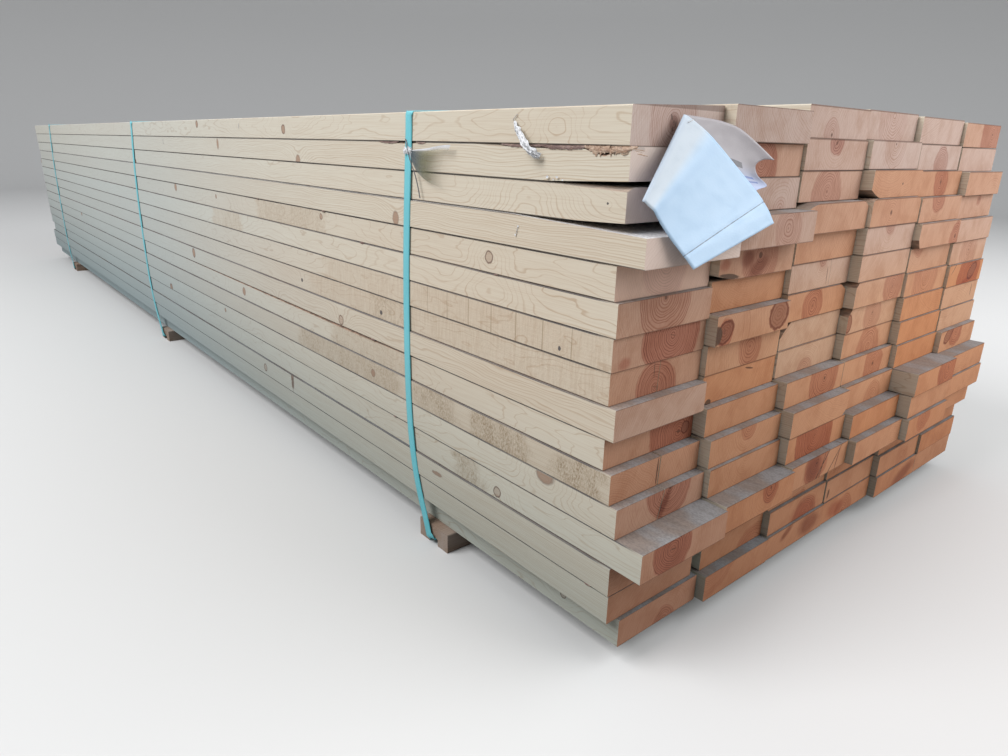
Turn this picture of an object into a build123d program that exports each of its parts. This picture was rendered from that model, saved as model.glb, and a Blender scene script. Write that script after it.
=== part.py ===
"""A strapped bundle of sawn fascia boards on three grooved bolsters.

X runs along the boards, with the tagged near end at +X. The long side with the torn wrap faces -Y.
Z is up, and the origin lies on the floor below the middle of the whole bundle. Sizes are in mm.
"""
import os
from dataclasses import dataclass
from math import atan2, degrees, hypot, sqrt

from build123d import *

# Boards
BOARD_LENGTH = 4500.0
BOARD_WIDTH = 195.0
BOARD_THICKNESS = 45.0
EASED_EDGE = 1.3
COURSES = 16
BOARDS_PER_COURSE = 6

# How the boards lie: the clear gap side by side, the gap that roughness leaves between courses,
# and how much over size the sawn boards of each column run, from the long side inwards.
SIDE_GAP = 1.6
COURSE_GAP = 0.3
COLUMN_OVERSIZE = (0.0, 0.6, 1.2, 1.3, 1.1, 0.9)

# How far single boards fall short of their size, taken in turn through the stack: all of them in
# thickness, and those along the two long sides in width, on their outer edge. The next course takes the
# value COURSE_TURN places on, and the next column the one COLUMN_TURN places on.
THICKNESS_SHORTFALL = (0.0, 0.5, 0.2, 0.6, 0.1, 0.4, 0.3)
WIDTH_SHORTFALL = (0.4, 0.0, 0.9, 1.7, 2.3)
COURSE_TURN = 3
COLUMN_TURN = 2

# How far each near end stands out (+) or back (-), top course first, long side first.
END_STANDS_OUT = (
    (-27, -22, -29, -32, -22, -16),
    (-25, -30, -25, -17, -17, -15),
    (-27, -28, -26, -6, -7, 7),
    (9, 7, -6, 1, 3, -1),
    (-34, -20, -18, -1, 11, 9),
    (-26, -29, -20, -1, 1, 6),
    (-30, -12, -19, -1, 4, 10),
    (-32, -23, -22, -6, 6, 9),
    (-17, -24, -21, -7, 9, 11),
    (-33, -12, 2, 2, 12, 22),
    (-17, 1, 21, 12, 60, 51),
    (-3, 6, 20, 34, 56, 54),
    (44, 40, 34, 48, 61, 40),
    (-6, 0, 4, 8, 18, 22),
    (-6, -3, 9, 11, 23, 28),
    (0, 14, 13, 12, 26, 26),
)

# Where the saw ran out of line: row from the top, column from the long side, 1 for the upper face or
# -1 for the lower, how much is missing from it at the near end, and how far along the board that fades
SAW_RUN_OUTS = ((2, 1, -1, 6.5, 160.0), (3, 1, -1, 4.2, 110.0), (4, 1, 1, 8.0, 240.0))

# Boards that lie further in or are narrower: row, column, and how far in the edge towards the long
# side and the other edge lie
SHIFTED_EDGES = ((15, 2, 18.0, 0.0), (16, 1, 22.0, 10.0), (16, 2, 12.0, 0.0))

# Boards sawn thicker at the edge away from the long side, and ends cut askew: row, column and how much
# higher, or further back, that edge is
THICKER_EDGES = ((1, 1, 8.0),)
SKEWED_ENDS = ((1, 1, 12.0),)

# Radius of the logs, which shows as wane where an arris lies outside the log
LOG_RADIUS = 150.0


@dataclass(frozen=True)
class Wane:
    """An arris where the round of the log is left instead of a square corner.

    Row counts from the top and column from the long side. Side is -1 for the arris towards the long side,
    and level is 1 for an upper arris. Across and down are its reach over the face and down the edge where
    it is deepest, at a distance from the near end. From there it fades out over two runs.
    """

    row: int
    column: int
    side: int
    level: int
    across: float
    down: float
    deepest: float
    to_near: float
    to_far: float


WANES = (
    Wane(2, 1, -1, 1, 14, 5, 120, 110, 230),
    Wane(2, 1, -1, 1, 20, 12, 40, 45, 50),
    Wane(2, 1, -1, 1, 8, 3.5, 475, 80, 120),
    Wane(3, 1, -1, 1, 12, 5, 0, 0, 150),
    Wane(3, 4, -1, -1, 36, 14, 0, 0, 600),
    Wane(4, 3, -1, 1, 30, 8, 0, 0, 400),
    Wane(4, 3, 1, 1, 18, 9, 0, 0, 500),
    Wane(4, 4, -1, 1, 10, 5, 0, 0, 260),
    Wane(4, 4, 1, 1, 12, 7, 0, 0, 380),
    Wane(5, 2, -1, -1, 50, 9, 0, 0, 520),
    Wane(5, 5, -1, -1, 10, 16, 0, 0, 300),
    Wane(7, 3, 1, 1, 22, 12, 0, 0, 120),
    Wane(7, 4, -1, 1, 10, 9, 0, 0, 180),
    Wane(8, 3, -1, 1, 30, 26, 0, 0, 700),
    Wane(8, 4, -1, 1, 14, 15, 0, 0, 220),
    Wane(9, 2, -1, -1, 14, 12, 0, 0, 160),
    Wane(10, 1, -1, 1, 8, 5, 700, 420, 1900),
    Wane(11, 3, 1, -1, 16, 14, 0, 0, 340),
    Wane(14, 4, -1, 1, 12, 11, 0, 0, 90),
)


@dataclass(frozen=True)
class Split:
    """A crack in the near end, open at the end and closed at its depth along the board.

    Place is its distance from the board's edge towards the long side at mid height, and slant is how much
    further in its top lies than its foot.
    """

    row: int
    column: int
    place: float
    slant: float
    opening: float
    depth: float


SPLITS = (
    Split(6, 3, 128, 0, 0.9, 70),
    Split(8, 1, 101, 3, 1.1, 90),
    Split(11, 1, 103, 3, 2.2, 140),
    Split(12, 1, 96, 12, 1.3, 110),
    Split(13, 3, 108, 36, 3.0, 160),
    Split(13, 3, 152, 40, 2.6, 150),
)

# Bolsters, laid across under the boards with the strap groove downwards
BOLSTER_WIDTH = 90.0
BOLSTER_HEIGHT = 38.0
BOLSTER_SETBACK = 4.0
GROOVE_WIDTH = 26.0
GROOVE_DEPTH = 14.0
NEAR_OVERHANG = 437.0
BOLSTER_SPACING = 1775.0
BOLSTERS = ("near", "middle", "far")

# Straps
STRAP_WIDTH = 19.0
STRAP_THICKNESS = 0.9
STRAP_CLEARANCE = 0.3
WELD_LAP = 60.0
# How far each strap has crept from its bolster towards the far end, at the top edge and half way down
NEAR_TOP_CREEP, NEAR_HALFWAY_CREEP = 47.0, 71.0
MIDDLE_TOP_CREEP, MIDDLE_HALFWAY_CREEP = 50.0, 110.0
FAR_TOP_CREEP, FAR_HALFWAY_CREEP = 12.0, 89.0
# The strap's bend down a long side, as shares of its height and of its creep half way down
STRAP_BEND = ((0.72, 0.92), (0.45, 1.0), (0.22, 0.86), (0.09, 0.5))
# How little two stretches of the strap's top line may differ in direction to count as one
SAME_WAY = 1e-6

# Tag, a sheet that hangs askew from its staple on the near end. Its outline is given by the distance
# of each corner from the long side and its drop from the top of the bundle.
TAG_OUTLINE = ((92, 8), (0, 104), (81, 187), (270, 142), (283, 59), (247, 39), (171, 14))
TAG_THICKNESS = 0.8
TAG_STAPLE_DROP = 13.0
TAG_REST_ROW = 4
TAG_REST_COLUMNS = (0, 1)

# Scraps of torn wrap on the long side: how far from the near end, drop from the top, width and height
SCRAP_THICKNESS = 1.2
SCRAPS = {"wrap_scrap_staple": (200.0, 38.0, 42.0, 50.0), "wrap_scrap_strap": (455.0, 70.0, 46.0, 22.0)}


def board_space(column):
    """Height that a board of one column takes up in the stack, without the gap."""
    return BOARD_THICKNESS + COLUMN_OVERSIZE[column]


def board_thickness(course, column):
    """Thickness of one board."""
    turn = course * COURSE_TURN + column * COLUMN_TURN
    return board_space(column) - THICKNESS_SHORTFALL[turn % len(THICKNESS_SHORTFALL)]


def board_inset(course):
    """How far the outer edges of a course lie inside the bundle's long sides."""
    return WIDTH_SHORTFALL[course * COURSE_TURN % len(WIDTH_SHORTFALL)]


def board_left(column):
    """Y of the edge of a column that faces the long side."""
    return column * (BOARD_WIDTH + SIDE_GAP)


def board_bottom(course, column):
    """Z of the underside of a board; course 0 is the lowest."""
    return BOLSTER_HEIGHT + COURSE_GAP + course * (board_space(column) + COURSE_GAP)


def board_top(course, column):
    """Z of the upper face of a board."""
    return board_bottom(course, column) + board_thickness(course, column)


def course_of(row):
    """Course of a row that is counted from the top."""
    return COURSES - row


def near_end(course, column):
    """X of the near end of a board."""
    return float(END_STANDS_OUT[COURSES - 1 - course][column])


bundle_width = board_left(BOARDS_PER_COURSE - 1) + BOARD_WIDTH


def own_values(table, course, column):
    """What a table holds for one board, after its row and its column."""
    return [entry[2:] for entry in table if entry[:2] == (COURSES - course, column + 1)]


def board_edges(course, column):
    """Y of the two edges of a board, the one towards the long side first."""
    left = board_left(column)
    right = left + BOARD_WIDTH
    if column == 0:
        left += board_inset(course)
    if column == BOARDS_PER_COURSE - 1:
        right -= board_inset(course)
    for left_shift, right_shift in own_values(SHIFTED_EDGES, course, column):
        left += left_shift
        right += right_shift
    return left, right


def far_edge_rise(course, column):
    """How much higher the upper face of a board is at its edge away from the long side."""
    return sum(rise for (rise,) in own_values(THICKER_EDGES, course, column))


def make_board(course, column):
    """One board with its long arrises eased, its near end where the stack shows it."""
    left, right = board_edges(course, column)
    bottom, top = board_bottom(course, column), board_top(course, column)
    outline = Polyline((left, bottom), (right, bottom), (right, top + far_edge_rise(course, column)), (left, top),
                       close=True)
    section = chamfer(make_face(outline).vertices(), EASED_EDGE)
    board = Pos(near_end(course, column) - BOARD_LENGTH, 0, 0) * extrude(Plane.YZ * section, BOARD_LENGTH)
    for cut in make_cuts(course, column):
        board -= cut
    return board


def make_cuts(course, column):
    """What is missing from one board: its wane, its splits and where the saw ran out or cut askew."""
    here = (COURSES - course, column + 1)
    cuts = []
    for wane in WANES:
        if (wane.row, wane.column) == here:
            cuts += [wane_half(wane, way, run) for way, run in ((1, wane.to_near), (-1, wane.to_far)) if run]
    cuts += [split_wedge(split) for split in SPLITS if (split.row, split.column) == here]
    cuts += [run_out_wedge(course, column, *run_out) for run_out in own_values(SAW_RUN_OUTS, course, column)]
    cuts += [skew_wedge(course, column, *skew) for skew in own_values(SKEWED_ENDS, course, column)]
    return cuts


def wane_half(wane, way, run):
    """What lies outside the log on one side of the deepest place of a wane.

    The log's surface is a cone there: it meets the arris where the wane fades out.
    """
    course, column = course_of(wane.row), wane.column - 1
    edge_y = board_edges(course, column)[0 if wane.side < 0 else 1]
    face_z = board_top(course, column) if wane.level > 0 else board_bottom(course, column)
    chord = hypot(wane.across, wane.down)
    depth = sqrt(LOG_RADIUS ** 2 - (chord / 2) ** 2)
    from_edge = wane.across / 2 + depth * wane.down / chord
    from_face = wane.down / 2 + depth * wane.across / chord
    pith = (edge_y - wane.side * from_edge, face_z - wane.level * from_face)
    x = near_end(course, column) - wane.deepest
    log = Cone(LOG_RADIUS, hypot(from_edge, from_face), run, align=(Align.CENTER, Align.CENTER, Align.MIN))
    log = Pos(x, *pith) * Rot(0, way * 90, 0) * log
    corner = Box(run, wane.across + EASED_EDGE, wane.down + EASED_EDGE)
    middle_y = edge_y - wane.side * (wane.across - EASED_EDGE) / 2
    middle_z = face_z - wane.level * (wane.down - EASED_EDGE) / 2
    return Pos(x + way * run / 2, middle_y, middle_z) * corner - log


def split_wedge(split):
    """The wedge of air in a crack, through the whole thickness of its board."""
    course, column = course_of(split.row), split.column - 1
    thickness = board_thickness(course, column)
    x = near_end(course, column)
    y = board_left(column) + split.place - split.slant
    mouth = make_face(Polyline((x, y - split.opening / 2), (x, y + split.opening / 2), (x - split.depth, y),
                               close=True))
    way = Vector(0, split.slant, thickness)
    return Pos(0, 0, board_bottom(course, column) - thickness / 2) * extrude(mouth, 2 * way.length, dir=way)


def run_out_wedge(course, column, level, missing, run):
    """The wedge that is missing from the upper or the lower face of a board near its end."""
    left, right = board_edges(course, column)
    x = near_end(course, column)
    face = board_top(course, column) if level > 0 else board_bottom(course, column)
    side = make_face(Polyline((x, left, face - level * missing), (x - run, left, face), (x, left, face), close=True))
    return extrude(side, right - left, dir=(0, 1, 0))


def skew_wedge(course, column, missing):
    """The wedge that is missing from a near end where the saw cut it askew."""
    left, right = board_edges(course, column)
    x, bottom = near_end(course, column), board_bottom(course, column)
    plan = make_face(Polyline((x, left, bottom), (x, right, bottom), (x - missing, right, bottom), close=True))
    return extrude(plan, board_thickness(course, column) + far_edge_rise(course, column), dir=(0, 0, 1))


def make_course(course):
    """The boards of one course, lying side by side without touching."""
    return [make_board(course, column) for column in range(BOARDS_PER_COURSE)]


def bolster_x(place):
    """X of the middle of a bolster."""
    return -NEAR_OVERHANG - BOLSTERS.index(place) * BOLSTER_SPACING


def make_bolster(place):
    """A bolster across the bundle, with the strap's groove along its underside."""
    length = bundle_width - 2 * BOLSTER_SETBACK
    bar = Box(BOLSTER_WIDTH, length, BOLSTER_HEIGHT, align=(Align.CENTER, Align.CENTER, Align.MIN))
    bar = chamfer(bar.edges().filter_by(Axis.Y), EASED_EDGE)
    groove = Box(GROOVE_WIDTH, length, GROOVE_DEPTH, align=(Align.CENTER, Align.CENTER, Align.MIN))
    return Pos(bolster_x(place), bundle_width / 2, 0) * (bar - groove)


def top_line():
    """Y and Z of the corners over which a tight strap runs along the top course."""
    corners = []
    for column in range(BOARDS_PER_COURSE):
        top = board_top(COURSES - 1, column)
        rise = far_edge_rise(COURSES - 1, column)
        corners += [(board_left(column), top), (board_left(column) + BOARD_WIDTH, top + rise)]
    line = []
    for corner in corners:
        while len(line) > 1 and not turns_down(line[-2], line[-1], corner):
            line.pop()
        line.append(corner)
    return line


def turns_down(first, second, third):
    """Whether the way from first to third bends downwards at second."""
    run = (second[0] - first[0]) * (third[1] - first[1])
    rise = (second[1] - first[1]) * (third[0] - first[0])
    return run - rise < -SAME_WAY


def strap_creep(place):
    """How far a strap has crept from its bolster at the top edge and half way down."""
    return {
        "near": (NEAR_TOP_CREEP, NEAR_HALFWAY_CREEP),
        "middle": (MIDDLE_TOP_CREEP, MIDDLE_HALFWAY_CREEP),
        "far": (FAR_TOP_CREEP, FAR_HALFWAY_CREEP),
    }[place]


def side_run(place, y, outwards):
    """The strap's run down one long side, drifting along the boards as it does."""
    at_top, half_way = strap_creep(place)
    x = bolster_x(place)
    outer_column = 0 if outwards < 0 else BOARDS_PER_COURSE - 1
    top = board_top(COURSES - 1, outer_column) + STRAP_CLEARANCE + STRAP_THICKNESS
    foot = GROOVE_DEPTH - STRAP_CLEARANCE - STRAP_THICKNESS
    bend = [(x - half_way * creep, foot + share * (top - foot)) for share, creep in STRAP_BEND]
    line = [(x - at_top, top)] + bend + [(x, foot)]
    half = STRAP_WIDTH / 2
    edges = [Spline(*[(px + side * half, 0, pz) for px, pz in line]) for side in (-1, 1)]
    ends = [Line((px - half, 0, pz), (px + half, 0, pz)) for px, pz in (line[0], line[-1])]
    run = extrude(make_face(edges + ends), STRAP_THICKNESS, dir=(0, outwards, 0))
    return Pos(0, y + outwards * STRAP_CLEARANCE, 0) * run


def top_run(place):
    """The strap's run over the top course, with its welded lap."""
    x = bolster_x(place) - strap_creep(place)[0]
    line = top_line()
    reach = STRAP_CLEARANCE + STRAP_THICKNESS
    line = [(line[0][0] - reach, line[0][1])] + line[1:-1] + [(line[-1][0] + reach, line[-1][1])]
    lower = [(y, z + STRAP_CLEARANCE) for y, z in line]
    upper = [(y, z + STRAP_THICKNESS) for y, z in lower]
    band = make_face(Polyline(*[(0, y, z) for y, z in lower + upper[::-1]], close=True))
    run = Pos(x - STRAP_WIDTH / 2, 0, 0) * extrude(band, STRAP_WIDTH, dir=(1, 0, 0))
    return run + weld_lap(x, upper)


def weld_lap(x, upper):
    """The second layer of strap where its ends are welded, on the longest level stretch of the top."""
    spans = list(zip(upper, upper[1:]))
    (y0, z0), (y1, z1) = max(spans, key=lambda span: span[1][0] - span[0][0])
    tilt = degrees(atan2(z1 - z0, y1 - y0))
    lap = Box(STRAP_WIDTH, min(WELD_LAP, hypot(y1 - y0, z1 - z0)), STRAP_THICKNESS,
              align=(Align.CENTER, Align.CENTER, Align.MIN))
    return Pos(x, (y0 + y1) / 2, (z0 + z1) / 2) * Rot(tilt, 0, 0) * lap


def bottom_run(place):
    """The strap's run through the bolster's groove."""
    reach = STRAP_CLEARANCE + STRAP_THICKNESS
    run = Box(STRAP_WIDTH, bundle_width + 2 * reach, STRAP_THICKNESS,
              align=(Align.CENTER, Align.CENTER, Align.MAX))
    return Pos(bolster_x(place), bundle_width / 2, GROOVE_DEPTH - STRAP_CLEARANCE) * run


def make_strap(place):
    """One plastic strap, pulled tight round the boards and their bolster."""
    strap = top_run(place) + bottom_run(place)
    strap += side_run(place, 0, -1) + side_run(place, bundle_width, 1)
    return strap


def tag_back():
    """X of the tag's back at the staple, and how far it leans out for each mm of drop.

    The sheet lies on the top course and is pushed out by the boards that stand out lower down.
    """
    staple = max(near_end(COURSES - 1, column) for column in TAG_REST_COLUMNS) + STRAP_CLEARANCE
    staple_z = board_top(COURSES - 1, 0) - TAG_STAPLE_DROP
    rest = course_of(TAG_REST_ROW)
    leans = []
    for column in TAG_REST_COLUMNS:
        out = near_end(rest, column) + STRAP_CLEARANCE - staple
        leans.append(out / (staple_z - board_top(rest, column)))
    return staple, max(leans)


def make_tag():
    """The tag, a thin sheet that hangs from its staple and rests on the boards that stand out."""
    staple, lean = tag_back()
    top = board_top(COURSES - 1, 0)
    corners = [(staple + lean * (drop - TAG_STAPLE_DROP), y, top - drop) for y, drop in TAG_OUTLINE]
    back = make_face(Polyline(*corners, close=True))
    return extrude(back, TAG_THICKNESS, dir=Vector(1, 0, lean).normalized())


def make_scrap(setback, drop, width, height):
    """A scrap of torn wrap, as a plain thin sheet on the long side, seated on the courses behind it."""
    z = board_top(COURSES - 1, 0) - drop
    behind = [course for course in range(COURSES)
              if board_bottom(course, 0) < z + height / 2 and board_top(course, 0) > z - height / 2]
    seat = min(board_inset(course) for course in behind) - STRAP_CLEARANCE
    scrap = Box(width, SCRAP_THICKNESS, height, align=(Align.CENTER, Align.MAX, Align.CENTER))
    return Pos(-setback, seat, z) * scrap


def make_parts():
    """Every node of the bundle, by name."""
    parts = {f"course_{course + 1:02d}": Compound(make_course(course)) for course in range(COURSES)}
    for place in BOLSTERS:
        parts[f"bolster_{place}"] = make_bolster(place)
        parts[f"strap_{place}"] = make_strap(place)
    parts["tag"] = make_tag()
    for name, place_and_size in SCRAPS.items():
        parts[name] = make_scrap(*place_and_size)
    return parts


def main():
    """Centre the bundle on its origin and write each node."""
    os.makedirs("parts", exist_ok=True)
    parts = make_parts()
    box = Compound(list(parts.values())).bounding_box()
    centre = Pos(-(box.min.X + box.max.X) / 2, -(box.min.Y + box.max.Y) / 2, -box.min.Z)
    for name, part in parts.items():
        export_step(centre * part, f"parts/{name}.step")
    print("near end plane at X", -(box.min.X + box.max.X) / 2, "long side at Y", -(box.min.Y + box.max.Y) / 2)
    print("size", box.size)


main()
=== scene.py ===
"""Looks of the strapped bundle of sawn boards.

The solids come from the frame. Here they get their wood, and the straps, the tag, the scraps of torn wrap and
the small bits of bark and wire are modelled around them. Metres, +X along the boards towards the tagged near
end, +Y across the bundle away from the long side with the torn wrap, +Z up.
"""
import logging
import math
from dataclasses import dataclass, field
from enum import Enum
from typing import Any, Callable, ClassVar, Iterable, Sequence

import bmesh
import bpy
import numpy as np
from mathutils import Matrix, Vector
from mathutils.bvhtree import BVHTree


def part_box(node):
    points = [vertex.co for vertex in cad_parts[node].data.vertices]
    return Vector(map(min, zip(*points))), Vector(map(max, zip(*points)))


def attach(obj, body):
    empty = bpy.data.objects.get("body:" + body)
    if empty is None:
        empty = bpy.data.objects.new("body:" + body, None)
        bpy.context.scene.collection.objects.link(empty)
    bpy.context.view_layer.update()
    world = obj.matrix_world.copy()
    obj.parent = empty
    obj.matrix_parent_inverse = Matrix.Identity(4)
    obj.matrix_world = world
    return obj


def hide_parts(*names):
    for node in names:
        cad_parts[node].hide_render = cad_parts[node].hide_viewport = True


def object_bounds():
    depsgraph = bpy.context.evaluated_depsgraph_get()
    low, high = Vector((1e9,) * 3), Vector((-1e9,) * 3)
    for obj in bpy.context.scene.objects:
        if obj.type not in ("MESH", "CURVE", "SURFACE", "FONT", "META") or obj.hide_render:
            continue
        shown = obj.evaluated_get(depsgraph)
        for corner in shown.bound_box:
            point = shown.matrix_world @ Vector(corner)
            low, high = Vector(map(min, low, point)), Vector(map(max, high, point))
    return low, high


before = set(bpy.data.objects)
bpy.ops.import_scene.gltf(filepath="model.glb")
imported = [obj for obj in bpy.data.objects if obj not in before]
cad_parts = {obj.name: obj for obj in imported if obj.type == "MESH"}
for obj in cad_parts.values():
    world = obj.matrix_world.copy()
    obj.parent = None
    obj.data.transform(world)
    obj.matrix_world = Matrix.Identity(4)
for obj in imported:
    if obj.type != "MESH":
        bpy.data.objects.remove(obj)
CAD_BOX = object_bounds()

LOG = logging.getLogger("bundle")
MM = 0.001
BODY = "root"

COURSES = 16
COLUMNS = 6
PLACES = ("near", "middle", "far")

Colour = tuple[float, float, float]
Value = Any


class Graph:
    """Adds nodes to one shader tree, so that a finish reads like a sum."""

    def __init__(self, tree: bpy.types.NodeTree) -> None:
        """Keep the tree that the nodes go to."""
        self.tree = tree

    def add(self, kind: str, **settings: Any) -> bpy.types.Node:
        """Add one node.

        Args:
            kind: Blender's name of the node type.
            settings: properties to set on it.

        Returns:
            The new node.
        """
        node = self.tree.nodes.new(kind)
        for name, value in settings.items():
            setattr(node, name, value)
        return node

    def feed(self, socket: bpy.types.NodeSocket, value: Value) -> None:
        """Link a socket to an input, or write a number, vector or colour on it.

        Args:
            socket: the input.
            value: an output socket or a plain value.
        """
        if isinstance(value, bpy.types.NodeSocket):
            self.tree.links.new(value, socket)
        elif socket.type == "RGBA" and len(value) == 3:
            socket.default_value = (*value, 1.0)
        else:
            socket.default_value = value

    def math(self, operation: str, *values: Value, clamp: bool = False) -> bpy.types.NodeSocket:
        """Add a Math node and return its output."""
        node = self.add("ShaderNodeMath", operation=operation, use_clamp=clamp)
        for socket, value in zip(node.inputs, values):
            self.feed(socket, value)
        return node.outputs[0]

    def vector(self, operation: str, *values: Value) -> bpy.types.NodeSocket:
        """Add a Vector Math node and return its vector, or its value where it makes one."""
        node = self.add("ShaderNodeVectorMath", operation=operation)
        for socket, value in zip(node.inputs, values):
            self.feed(socket, value)
        return node.outputs["Value" if operation in ("LENGTH", "DOT_PRODUCT") else "Vector"]

    def plus(self, first: Value, second: Value) -> bpy.types.NodeSocket:
        """Return the sum of two values."""
        return self.math("ADD", first, second)

    def less(self, first: Value, second: Value) -> bpy.types.NodeSocket:
        """Return the first value less the second."""
        return self.math("SUBTRACT", first, second)

    def times(self, first: Value, second: Value) -> bpy.types.NodeSocket:
        """Return the product of two values."""
        return self.math("MULTIPLY", first, second)

    def size(self, value: Value) -> bpy.types.NodeSocket:
        """Return a value without its sign."""
        return self.math("ABSOLUTE", value)

    def largest(self, first: Value, second: Value) -> bpy.types.NodeSocket:
        """Return the larger of two values."""
        return self.math("MAXIMUM", first, second)

    def swing(self, noise: Value, reach: float) -> bpy.types.NodeSocket:
        """Turn a noise of 0 to 1 into a value from minus half the reach to half the reach."""
        return self.math("MULTIPLY_ADD", noise, reach, -reach / 2)

    def split(self, vector: Value) -> tuple[bpy.types.NodeSocket, ...]:
        """Return the X, Y and Z of a vector."""
        node = self.add("ShaderNodeSeparateXYZ")
        self.feed(node.inputs[0], vector)
        return tuple(node.outputs)

    def join(self, x: Value = 0.0, y: Value = 0.0, z: Value = 0.0) -> bpy.types.NodeSocket:
        """Return a vector made of three values."""
        node = self.add("ShaderNodeCombineXYZ")
        for socket, value in zip(node.inputs, (x, y, z)):
            self.feed(socket, value)
        return node.outputs[0]

    def mix(self, share: Value, first: Value, second: Value, blend: str = "MIX") -> bpy.types.NodeSocket:
        """Mix two colours.

        Args:
            share: 0 gives the first colour, and 1 the second.
            first: a colour.
            second: a colour.
            blend: how they mix.

        Returns:
            The mixed colour.
        """
        node = self.add("ShaderNodeMix", data_type="RGBA", blend_type=blend)
        self.feed(node.inputs[0], share)
        self.feed(node.inputs[6], first)
        self.feed(node.inputs[7], second)
        return node.outputs[2]

    def step(self, value: Value, low: Value, high: Value, to_low: Value = 0.0, to_high: Value = 1.0
             ) -> bpy.types.NodeSocket:
        """Map a value from one range to another, smoothly and held at both ends.

        Args:
            value: what is mapped.
            low: start of its range.
            high: end of its range.
            to_low: what low becomes.
            to_high: what high becomes.

        Returns:
            The mapped value.
        """
        node = self.add("ShaderNodeMapRange", interpolation_type="SMOOTHSTEP")
        for socket, number in zip(node.inputs, (value, low, high, to_low, to_high)):
            self.feed(socket, number)
        return node.outputs[0]

    def band(self, value: Value, *edges: float) -> bpy.types.NodeSocket:
        """Return 1 between the middle two of four edges, fading to 0 at the outer two."""
        start, full, fade, end = edges
        return self.times(self.step(value, start, full), self.step(value, fade, end, 1.0, 0.0))

    def noise(self, point: Value, scale: float, detail: float = 2.0, roughness: float = 0.5
              ) -> bpy.types.NodeSocket:
        """Return smooth noise from 0 to 1 at a point.

        Args:
            point: where it is read.
            scale: how many waves there are to a metre.
            detail: how many finer layers lie on it.
            roughness: how strong the finer layers are.

        Returns:
            The noise value.
        """
        node = self.add("ShaderNodeTexNoise", noise_dimensions="3D")
        self.feed(node.inputs["Vector"], point)
        self.feed(node.inputs["Scale"], scale)
        self.feed(node.inputs["Detail"], detail)
        self.feed(node.inputs["Roughness"], roughness)
        return node.outputs["Fac"]

    def stretched(self, point: Value, scale: Sequence[float]) -> bpy.types.NodeSocket:
        """Return a point scaled along each axis, so that noise read there is drawn out."""
        return self.vector("MULTIPLY", point, tuple(scale))

    def darken(self, share: Value, colour: Value, factor: Colour) -> bpy.types.NodeSocket:
        """Multiply a colour by a factor, by a share of 0 to 1."""
        return self.mix(share, colour, factor, "MULTIPLY")

    def ramp(self, factor: Value, stops: Iterable[tuple[float, Sequence[float]]], held: bool = False
             ) -> bpy.types.Node:
        """Add a colour ramp.

        Args:
            factor: where the ramp is read, 0 to 1.
            stops: place and colour of each stop.
            held: whether each colour holds until the next stop.

        Returns:
            The ramp's node.
        """
        node = self.add("ShaderNodeValToRGB")
        node.color_ramp.interpolation = "CONSTANT" if held else "LINEAR"
        elements = node.color_ramp.elements
        for index, (place, colour) in enumerate(stops):
            element = elements[index] if index < len(elements) else elements.new(place)
            element.position = place
            element.color = (*colour, 1.0)[:4]
        self.feed(node.inputs[0], factor)
        return node

    def use(self, group: bpy.types.NodeTree, **values: Value) -> bpy.types.Node:
        """Place a node group with its own values.

        Args:
            group: the group.
            values: its inputs, with _ for each blank in the name.

        Returns:
            The group's node.
        """
        node = self.add("ShaderNodeGroup", node_tree=group)
        for name, value in values.items():
            self.feed(node.inputs[name.replace("_", " ")], value)
        return node


SOCKETS = {"number": "NodeSocketFloat", "vector": "NodeSocketVector", "colour": "NodeSocketColor"}


def shader_group(name: str, inputs: dict[str, tuple[str, Value]], outputs: dict[str, str]
                 ) -> tuple[Graph, bpy.types.Node, bpy.types.Node]:
    """Start a shader node group.

    Args:
        name: the group's name.
        inputs: kind and first value of each input.
        outputs: kind of each output.

    Returns:
        The graph to fill, its input node and its output node.
    """
    tree = bpy.data.node_groups.new(name, "ShaderNodeTree")
    for label, (kind, value) in inputs.items():
        socket = tree.interface.new_socket(label, in_out="INPUT", socket_type=SOCKETS[kind])
        socket.default_value = value
    for label, kind in outputs.items():
        tree.interface.new_socket(label, in_out="OUTPUT", socket_type=SOCKETS[kind])
    graph = Graph(tree)
    return graph, graph.add("NodeGroupInput"), graph.add("NodeGroupOutput")


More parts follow.
